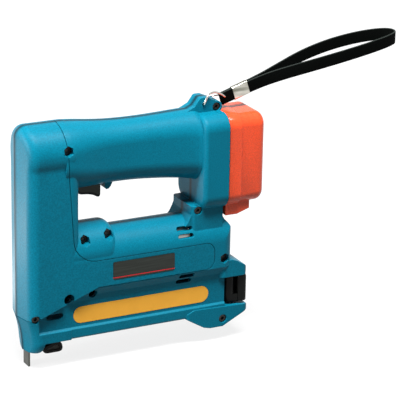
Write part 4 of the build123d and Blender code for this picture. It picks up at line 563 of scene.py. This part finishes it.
rear_share = np.clip((trigger_loop[:, 0] - ROUNDING_FRONT) / ROUNDING_RUN, 0, 1)
trigger_grid = np.empty((len(trigger_across), len(trigger_loop), 3))
trigger_grid[..., 0] = trigger_loop[:, 0] - trigger_inset / 2 * rear_share
trigger_grid[..., 1] = trigger_across
trigger_grid[..., 2] = trigger_loop[:, 1] + trigger_inset * low_share
# Painted sheen and shade: the flat sides of the trigger take a lighter grey than the black of its rounded
# edges and finger face.
trigger_side_sheen = moulding("trigger_side_sheen", (0.022, 0.027, 0.021), roughness=0.34, grain=0.0008,
                            depth=0.00003, gloss=0.16)
trigger_piece = surface("finger_trigger", [placed(trigger_grid)], angle=12)
sheen_shade_index = np.ones(len(trigger_piece.data.polygons), dtype=np.int32)
sheen_shade_index[-2:] = 0
trigger_piece.data.polygons.foreach_set("material_index", sheen_shade_index)
fit(trigger_piece, "trigger", "trigger", "black_plastic", trigger_side_sheen, black_moulding)
dress(black_moulding, "switch", "switch_button")
dress(oiled_steel, "trigger_pin")
lead_sleeve = moulding("lead_sleeve", (0.36, 0.018, 0.014), roughness=0.42, grain=0.0010, depth=0.00003)
dress(lead_sleeve, "motor_lead")


# Magazine
# A folded steel channel holds the strip of staples on a sliding rail, with a sprung pusher behind them.
# The rail ends in a moulded cap with a ribbed latch lever on a cross pin.
dress(ground_steel, "magazine_channel", "magazine_rail", "pusher")
dress(blackened_steel, "latch_pin")
spring("pusher_spring", outer=0.0024, wire=0.0007, turns=26, along=ALONG_X, body="magazine")

STAPLE_PITCH = 0.001225
STAPLE_WIRE = 0.0011
NOTCH_DEPTH = 0.00010
STRIP_STATIONS = 97


def staple_strip(low, high):
    """Channel section carried along x: every pitch, the section shrinks a little where two wires meet.
    The shrink is the notch's depth times the eighth power of the cosine of the place within a pitch."""
    half = (high.y - low.y) / 2
    middle = (high.y + low.y) / 2
    inner = half - STAPLE_WIRE
    roof = high.z - STAPLE_WIRE
    section = np.array([
        (-half, low.z), (-half, high.z), (half, high.z), (half, low.z),
        (inner, low.z), (inner, roof), (-inner, roof), (-inner, low.z),
    ])
    outward = np.array([(-1, 0), (-1, 1), (1, 1), (1, 0), (-1, 0), (-1, -1), (1, -1), (1, 0)])
    x = np.linspace(low.x, high.x, STRIP_STATIONS)[:, None]
    shrink = NOTCH_DEPTH * np.cos(math.pi * (x - low.x) / STAPLE_PITCH) ** 8
    grid = np.empty((x.size, len(section), 3))
    grid[..., 0] = x
    grid[..., 1] = middle + section[:, 0] - outward[:, 0] * shrink
    grid[..., 2] = section[:, 1] - outward[:, 1] * shrink
    return grid


strip_piece = surface("staple_strip", [staple_strip(*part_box("staples"))])
galvanised_wire = steel("galvanised_wire", (0.50, 0.50, 0.48), (0.68, 0.68, 0.66), roughness=0.28,
                        brush=(1, 1, 0.05))
fit(strip_piece, "magazine", "staples", "bright_steel", galvanised_wire)


def eased_copy(node, body, width, material, slot):
    """Copy of a node's solid with its flat faces merged and its edges rounded."""
    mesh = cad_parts[node].data.copy()
    shell = bmesh.new()
    shell.from_mesh(mesh)
    bmesh.ops.remove_doubles(shell, verts=shell.verts, dist=1e-6)
    bmesh.ops.dissolve_limit(shell, angle_limit=math.radians(1), verts=shell.verts, edges=shell.edges)
    shell.to_mesh(mesh)
    shell.free()
    mesh.shade_smooth()
    mesh.materials.clear()
    piece = bpy.data.objects.new(f"{node}_eased", mesh)
    bpy.context.scene.collection.objects.link(piece)
    bevel = piece.modifiers.new("edges", "BEVEL")
    bevel.width = width
    bevel.segments = 3
    bevel.limit_method = "ANGLE"
    bevel.angle_limit = math.radians(40)
    bevel.harden_normals = True
    fit(piece, body, node, slot, material)


eased_copy("magazine_cap", "magazine", width=0.0007, material=black_moulding, slot="black_plastic")
eased_copy("latch_lever", "latch", width=0.0006, material=black_moulding, slot="black_plastic")

RIB_FRONT = 205.8
RIB_REAR = 214.0
RIB_FOOT = 20.4
RIB_HEAD = 44.6
RIB_INNER = 18.05
RIB_RISE = 1.7
RIB_SIDES = 17


def side_rib(hand):
    """Upright bar on one side: half an ellipse in plan over a flat inner face, drawn in at both ends."""
    turn = np.linspace(0, math.pi, RIB_SIDES)
    heights = np.array([
        RIB_FOOT, RIB_FOOT + 0.5, RIB_FOOT + 1.2, RIB_HEAD - 1.2, RIB_HEAD - 0.5, RIB_HEAD,
    ])[:, None]
    shares = np.array([0.86, 0.97, 1.0, 1.0, 0.97, 0.86])[:, None]
    grid = np.empty((len(heights), turn.size, 3))
    grid[..., 0] = (RIB_FRONT + RIB_REAR) / 2 - shares * (RIB_REAR - RIB_FRONT) / 2 * np.cos(turn)
    grid[..., 1] = hand * (RIB_INNER + shares * RIB_RISE * np.sin(turn))
    grid[..., 2] = heights
    return placed(grid)


lever_sides = surface("latch_side_ribs", [side_rib(hand) for hand in (-1, 1)])
lever_sides.data.materials.append(black_moulding)
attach(lever_sides, "latch")


# Battery
# A moulded case with a collar that meets the holder and a tower that goes into it, around a pack of
# sleeved cells with brass terminals that meet the block in the holder.
red_moulding = moulding("red_moulding", (0.86, 0.080, 0.022), roughness=0.26, grain=0.0010,
                        depth=0.00002, gloss=0.30)
eased_copy("battery_case", "battery", width=0.0008, material=red_moulding, slot="battery_plastic")
cell_sleeve = moulding("cell_sleeve", (0.36, 0.40, 0.42), roughness=0.25, grain=0.0050, depth=0.00001)
dress(cell_sleeve, "cell_pack")
terminal_brass = steel("terminal_brass", (0.55, 0.38, 0.14), (0.72, 0.54, 0.24), roughness=0.30,
                       brush=(1, 1, 0.1))
dress(terminal_brass, "battery_terminals")
dress(black_moulding, "terminal_block")


# Strap ring
# A plated wire link through the lug's hole: one arm is bent up over the lug, the other lies low beside
# it, and both close through the strap's folded end.
RING_WIRE = 0.0009
RING_SIDES = 16
RING_STEPS = 10
RING_GUIDE = (0.31, 0.0, -0.95)


def closed_bend(points):
    """Closed cubic B-spline: each stretch blends four neighbouring points with uniform cubic weights."""
    t = np.linspace(0, 1, RING_STEPS, endpoint=False)[:, None]
    weights = np.stack([
        (1 - t) ** 3,
        3 * t ** 3 - 6 * t ** 2 + 4,
        -3 * t ** 3 + 3 * t ** 2 + 3 * t + 1,
        t ** 3,
    ]) / 6
    neighbours = np.stack([np.roll(points, 1 - k, axis=0) for k in range(4)])
    return np.einsum("kso,knc->nsc", weights, neighbours).reshape(-1, 3)


def closed_wire(path):
    """Circle carried round a closed path: its frame is the tangent, the direction square to the tangent
    and to a fixed guide, and the cross product of the two, so the wire never twists."""
    tangent = np.roll(path, -1, axis=0) - np.roll(path, 1, axis=0)
    tangent /= np.linalg.norm(tangent, axis=1, keepdims=True)
    across = np.cross(tangent, RING_GUIDE)
    across /= np.linalg.norm(across, axis=1, keepdims=True)
    over = np.cross(across, tangent)
    around = np.linspace(0, 2 * math.pi, RING_SIDES, endpoint=False)[None, :, None]
    circle = across[:, None, :] * np.cos(around) + over[:, None, :] * np.sin(around)
    return path[:, None, :] + RING_WIRE * circle


ring_points = np.array([
    (173.5, 3.0, 204.2),
    (173.5, -3.0, 204.2),
    (173.5, -8.0, 204.2),
    (173.5, -9.2, 204.4),
    (174.2, -9.6, 208.0),
    (176.6, -9.4, 212.4),
    (181.0, -7.0, 213.8),
    (187.0, -5.0, 213.4),
    (193.0, -4.6, 210.2),
    (196.0, -4.4, 207.6),
    (196.4, -2.6, 207.2),
    (196.4, 2.6, 207.2),
    (196.0, 5.0, 207.0),
    (192.5, 8.4, 206.2),
    (186.0, 9.6, 205.2),
    (179.0, 9.8, 204.6),
    (174.0, 9.6, 204.2),
    (173.5, 8.0, 204.2),
])
ring_piece = surface("ring_wire", [closed_wire(closed_bend(placed(ring_points)))], loop_rows=True)
plated_wire = steel("plated_wire", (0.46, 0.45, 0.41), (0.62, 0.61, 0.57), roughness=0.20, grain=0.0009)
fit(ring_piece, "strap", "strap_ring", "bright_wire", plated_wire)


# Wrist strap
# A woven black band, doubled and closed by a crimped ferrule, that stands out behind the tool in a long
# loop. Its edges are painted paler than its weave: a painted highlight along both edges.
strap_half = np.array([
    (193.7, 1.0, 204.6),
    (228.0, 1.0, 215.6),
    (252.0, 6.5, 222.7),
    (280.0, 14.5, 230.0),
    (308.0, 18.2, 235.9),
    (334.0, 17.3, 240.2),
    (355.0, 13.0, 242.8),
    (367.5, 6.0, 243.9),
])
strap_route = placed(np.concatenate([strap_half * (1, -1, 1), strap_half[::-1]]))
route_curve = bpy.data.curves.new("strap_route", "CURVE")
route_curve.dimensions = "3D"
route_curve.resolution_u = 16
route_line = route_curve.splines.new("NURBS")
route_line.points.add(len(strap_route) - 1)
route_line.points.foreach_set("co", np.column_stack([strap_route, np.ones(len(strap_route))]).ravel())
route_line.order_u = 3
route_line.use_endpoint_u = True
route_object = bpy.data.objects.new("strap_route", route_curve)
route_mesh = bpy.data.meshes.new_from_object(route_object)
strap_path = np.empty(3 * len(route_mesh.vertices))
route_mesh.vertices.foreach_get("co", strap_path)
strap_path = strap_path.reshape(-1, 3)
bpy.data.meshes.remove(route_mesh)
bpy.data.objects.remove(route_object)
bpy.data.curves.remove(route_curve)

STRAP_WIDTH = 0.0110
STRAP_THICK = 0.0016
STRAP_CORNER = 0.0006
QUARTER_STEPS = 5


def band_section(width, thick, corner):
    """Offsets through the thickness and over the width of a rectangle with quarter-circle corners."""
    quarter = np.linspace(0, math.pi / 2, QUARTER_STEPS)
    turn = (np.arange(4)[:, None] * math.pi / 2 + quarter).ravel()
    side = np.repeat([1, -1, -1, 1], QUARTER_STEPS)
    top = np.repeat([1, 1, -1, -1], QUARTER_STEPS)
    through = side * (thick / 2 - corner) + corner * np.cos(turn)
    over = top * (width / 2 - corner) + corner * np.sin(turn)
    return through, over


def band(path, width, thick, corner):
    """Rounded rectangle carried along a path: its thickness is level, its width square to the path."""
    tangent = np.gradient(path, axis=0)
    tangent /= np.linalg.norm(tangent, axis=1, keepdims=True)
    level = np.cross(tangent, (0, 0, 1))
    level /= np.linalg.norm(level, axis=1, keepdims=True)
    upright = np.cross(level, tangent)
    through, over = band_section(width, thick, corner)
    sideways = through[None, :, None] * level[:, None, :]
    upwards = over[None, :, None] * upright[:, None, :]
    return path[:, None, :] + sideways + upwards


strap_piece = surface("strap_band", [band(strap_path, STRAP_WIDTH, STRAP_THICK, STRAP_CORNER)], angle=60)
strap_step = np.linalg.norm(np.diff(strap_path, axis=0), axis=1)
strap_run = np.concatenate([[0], np.cumsum(strap_step)])
strap_over = band_section(STRAP_WIDTH, STRAP_THICK, STRAP_CORNER)[1]
point_values = {
    "along": np.repeat(strap_run, strap_over.size),
    "over": np.tile(strap_over, strap_run.size),
}
for value_name, values in point_values.items():
    attribute = strap_piece.data.attributes.new(value_name, "FLOAT", "POINT")
    attribute.data.foreach_set("value", values.astype(np.float32))

WEAVE_DARK = (0.0006, 0.0008, 0.0007)
WEAVE_LIGHT = (0.0026, 0.0034, 0.0030)
EDGE_HIGHLIGHT_PAINT = (0.030, 0.036, 0.033)
LENGTHWISE_PITCH = 0.0009
CROSSWISE_PITCH = 0.0011
black_webbing, web_nodes, web_links, web_shader = start_finish("black_webbing")


def attribute_value(name):
    """Value of a point attribute of the band."""
    node = web_nodes.new("ShaderNodeAttribute")
    node.attribute_name = name
    return node.outputs["Fac"]


def ripple(value, pitch):
    """Half wave of a value with one crest in each pitch, from 0 to 1."""
    scale = figure(web_nodes, web_links, "MULTIPLY", value, math.pi / pitch)
    return figure(web_nodes, web_links, "ABSOLUTE", figure(web_nodes, web_links, "SINE", scale))


lengthwise = ripple(attribute_value("along"), LENGTHWISE_PITCH)
crosswise = ripple(attribute_value("over"), CROSSWISE_PITCH)
weave = figure(web_nodes, web_links, "MULTIPLY", lengthwise, crosswise)
weave_tint = shades(web_nodes, web_links, weave, WEAVE_DARK, WEAVE_LIGHT, low=0, high=1)
from_middle = figure(web_nodes, web_links, "ABSOLUTE", attribute_value("over"))
# Painted highlight: the band's colour turns paler over the corners of both edges.
painted_edge_highlight = span(web_nodes, web_links, from_middle, STRAP_WIDTH / 2 - STRAP_CORNER, STRAP_WIDTH / 2, 0, 1)
web_tint = blend(web_nodes, web_links, painted_edge_highlight, weave_tint, EDGE_HIGHLIGHT_PAINT)
web_links.new(web_tint, web_shader.inputs["Base Color"])
web_shader.inputs["Roughness"].default_value = 0.75
web_shader.inputs["Specular IOR Level"].default_value = 0.02
relief(web_nodes, web_links, weave, strength=0.4, depth=0.00015, shader=web_shader)

FERRULE_WIDTH = 0.0124
FERRULE_THICK = 0.0050
FERRULE_CORNER = 0.0016
FERRULE_WALL = 0.0006
FERRULE_FRONT_HEIGHT = 0.2082
FERRULE_REAR_HEIGHT = 0.2132
FERRULE_MARGIN = 0.04
FERRULE_STATIONS = 13


def sleeve(path, width, thick, corner, wall):
    """Flattened tube along a path: the outer loop from end to end and the inner loop back, joined at both
    ends, with each end's rim drawn in by a quarter of the wall."""
    outer = band(path, width, thick, corner)
    inner = band(path, width - 2 * wall, thick - 2 * wall, corner - wall / 2)
    rim_outer = band(path, width - wall / 2, thick - wall / 2, corner - wall / 4)
    return np.concatenate([rim_outer[:1], outer, rim_outer[-1:], inner[::-1]])


ferrule_low, ferrule_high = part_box("strap_ferrule")
ferrule_front = np.array([ferrule_low.x, 0, BASE_PLANE + FERRULE_FRONT_HEIGHT])
ferrule_rear = np.array([ferrule_high.x, 0, BASE_PLANE + FERRULE_REAR_HEIGHT])
ferrule_share = np.linspace(0, 1, FERRULE_STATIONS)[:, None]
ferrule_share = FERRULE_MARGIN + (1 - 2 * FERRULE_MARGIN) * ferrule_share
ferrule_path = ferrule_front + (ferrule_rear - ferrule_front) * ferrule_share
ferrule_tube = sleeve(ferrule_path, FERRULE_WIDTH, FERRULE_THICK, FERRULE_CORNER, FERRULE_WALL)
ferrule_piece = surface("crimped_ferrule", [ferrule_tube], loop_rows=True)
# Painted reflection: the wide dark-to-light range of this steel's colour draws reflection bands on the
# ferrule as well as its brushing.
crimped_steel_painted_reflection = steel("crimped_steel_painted_reflection", (0.24, 0.24, 0.20), (0.74, 0.73, 0.66), roughness=0.26,
                      brush=(0.1, 1, 1), grain=0.004)
fit(ferrule_piece, "strap", "strap_ferrule", "bright_wire", crimped_steel_painted_reflection)
fit(strap_piece, "strap", "strap", "strap_web", black_webbing)


# Floor, light and camera
# A pale sweep, a long soft box overhead, an upright strip at the left that lights the faces turned to the
# nose's side, a strip along the floor there whose reflection lightens the nose's front, and a white
# surround.
FLOOR_HALF = 4
FLOOR_GREY = 0.14
GLOW_NEAR = 0.83
GLOW_FAR = 1.0
GLOW_START = 0.20
GLOW_END = 0.75
AMBIENT = 0.05
floor_mesh = bpy.data.meshes.new("floor")
floor_corners = [(FLOOR_HALF * x, FLOOR_HALF * y, 0) for x, y in ((-1, -1), (1, -1), (1, 1), (-1, 1))]
floor_mesh.from_pydata(floor_corners, [], [(0, 1, 2, 3)])
floor = bpy.data.objects.new("floor", floor_mesh)
bpy.context.scene.collection.objects.link(floor)


def seen_strength(nodes, links, seen, unseen):
    """Strength that is one value for camera, glossy and transmission rays and another for the rest."""
    rays = nodes.new("ShaderNodeLightPath").outputs
    direct = figure(nodes, links, "MAXIMUM", rays["Is Camera Ray"], rays["Is Glossy Ray"])
    either = figure(nodes, links, "MAXIMUM", direct, rays["Is Transmission Ray"])
    return span(nodes, links, either, 0, 1, unseen, seen)


floor_paint, floor_nodes, floor_links, floor_shader = start_finish("floor_paint")
floor_shader.inputs["Base Color"].default_value = (*scaled(WHITE, FLOOR_GREY), 1)
floor_shader.inputs["Roughness"].default_value = 0.9
floor_place = floor_nodes.new("ShaderNodeTexCoord")
floor_radius = floor_nodes.new("ShaderNodeVectorMath")
floor_radius.operation = "LENGTH"
floor_links.new(floor_place.outputs["Object"], floor_radius.inputs[0])
glow_by_radius = span(floor_nodes, floor_links, floor_radius.outputs["Value"], GLOW_START, GLOW_END,
                      GLOW_NEAR, GLOW_FAR, smooth=True)
glow_switch = seen_strength(floor_nodes, floor_links, seen=1, unseen=0)
glow_strength = figure(floor_nodes, floor_links, "MULTIPLY", glow_by_radius, glow_switch)
floor_glow = floor_nodes.new("ShaderNodeEmission")
floor_glow.inputs["Color"].default_value = (*WHITE, 1)
floor_sum = floor_nodes.new("ShaderNodeAddShader")
floor_links.new(glow_strength, floor_glow.inputs["Strength"])
floor_links.new(floor_shader.outputs["BSDF"], floor_sum.inputs[0])
floor_links.new(floor_glow.outputs["Emission"], floor_sum.inputs[1])
floor_links.new(floor_sum.outputs["Shader"], floor_nodes["Material Output"].inputs["Surface"])
floor_mesh.materials.append(floor_paint)

world = bpy.data.worlds.new("surround")
bpy.context.scene.world = world
world.use_nodes = True
world_nodes = world.node_tree.nodes
world_links = world.node_tree.links
surround = world_nodes["Background"]
surround.inputs["Color"].default_value = (*WHITE, 1)
surround_strength = seen_strength(world_nodes, world_links, seen=1.0, unseen=AMBIENT)
world_links.new(surround_strength, surround.inputs["Strength"])


def soft_box(name, place, aim, width, height, power):
    """Rectangular soft box at a place, turned to a point."""
    light = bpy.data.lights.new(name, "AREA")
    light.shape = "RECTANGLE"
    light.size = width
    light.size_y = height
    light.energy = power
    lamp = bpy.data.objects.new(name, light)
    lamp.location = place
    lamp.rotation_euler = (Vector(aim) - Vector(place)).to_track_quat("-Z", "Y").to_euler()
    bpy.context.scene.collection.objects.link(lamp)


TOOL_MIDDLE = (0, 0, 0.12)
soft_box("overhead_box", (-0.10, -0.36, 1.22), TOOL_MIDDLE, width=0.9, height=0.22, power=32)
soft_box("left_strip", (-1.45, -0.08, 0.45), TOOL_MIDDLE, width=0.22, height=0.9, power=21)
soft_box("floor_strip", (-0.42, 0.215, 0.003), (-0.42, 0.215, 1.0), width=0.60, height=0.12, power=1.2)

VIEW_TURN = math.radians(27.3)
VIEW_RISE = math.radians(19.2)
VIEW_ROLL = math.radians(1.1)
VIEW_DISTANCE = 1.936
VIEW_POINT = Vector((0.062433, 0, 0.127130))
towards_viewer = Vector((
    -math.sin(VIEW_TURN) * math.cos(VIEW_RISE),
    -math.cos(VIEW_TURN) * math.cos(VIEW_RISE),
    math.sin(VIEW_RISE),
))
level_right = Vector((math.cos(VIEW_TURN), -math.sin(VIEW_TURN), 0))
level_up = towards_viewer.cross(level_right)
view_right = math.cos(VIEW_ROLL) * level_right + math.sin(VIEW_ROLL) * level_up
view_up = math.cos(VIEW_ROLL) * level_up - math.sin(VIEW_ROLL) * level_right
view_axes = Matrix((view_right, view_up, towards_viewer)).transposed().to_4x4()
lens = bpy.data.cameras.new("camera")
lens.lens = 198
lens.sensor_width = 36
lens.clip_end = 50
camera = bpy.data.objects.new("camera", lens)
camera.matrix_world = Matrix.Translation(VIEW_POINT + VIEW_DISTANCE * towards_viewer) @ view_axes
bpy.context.scene.collection.objects.link(camera)
bpy.context.scene.camera = camera
bpy.context.scene.view_settings.view_transform = "Standard"
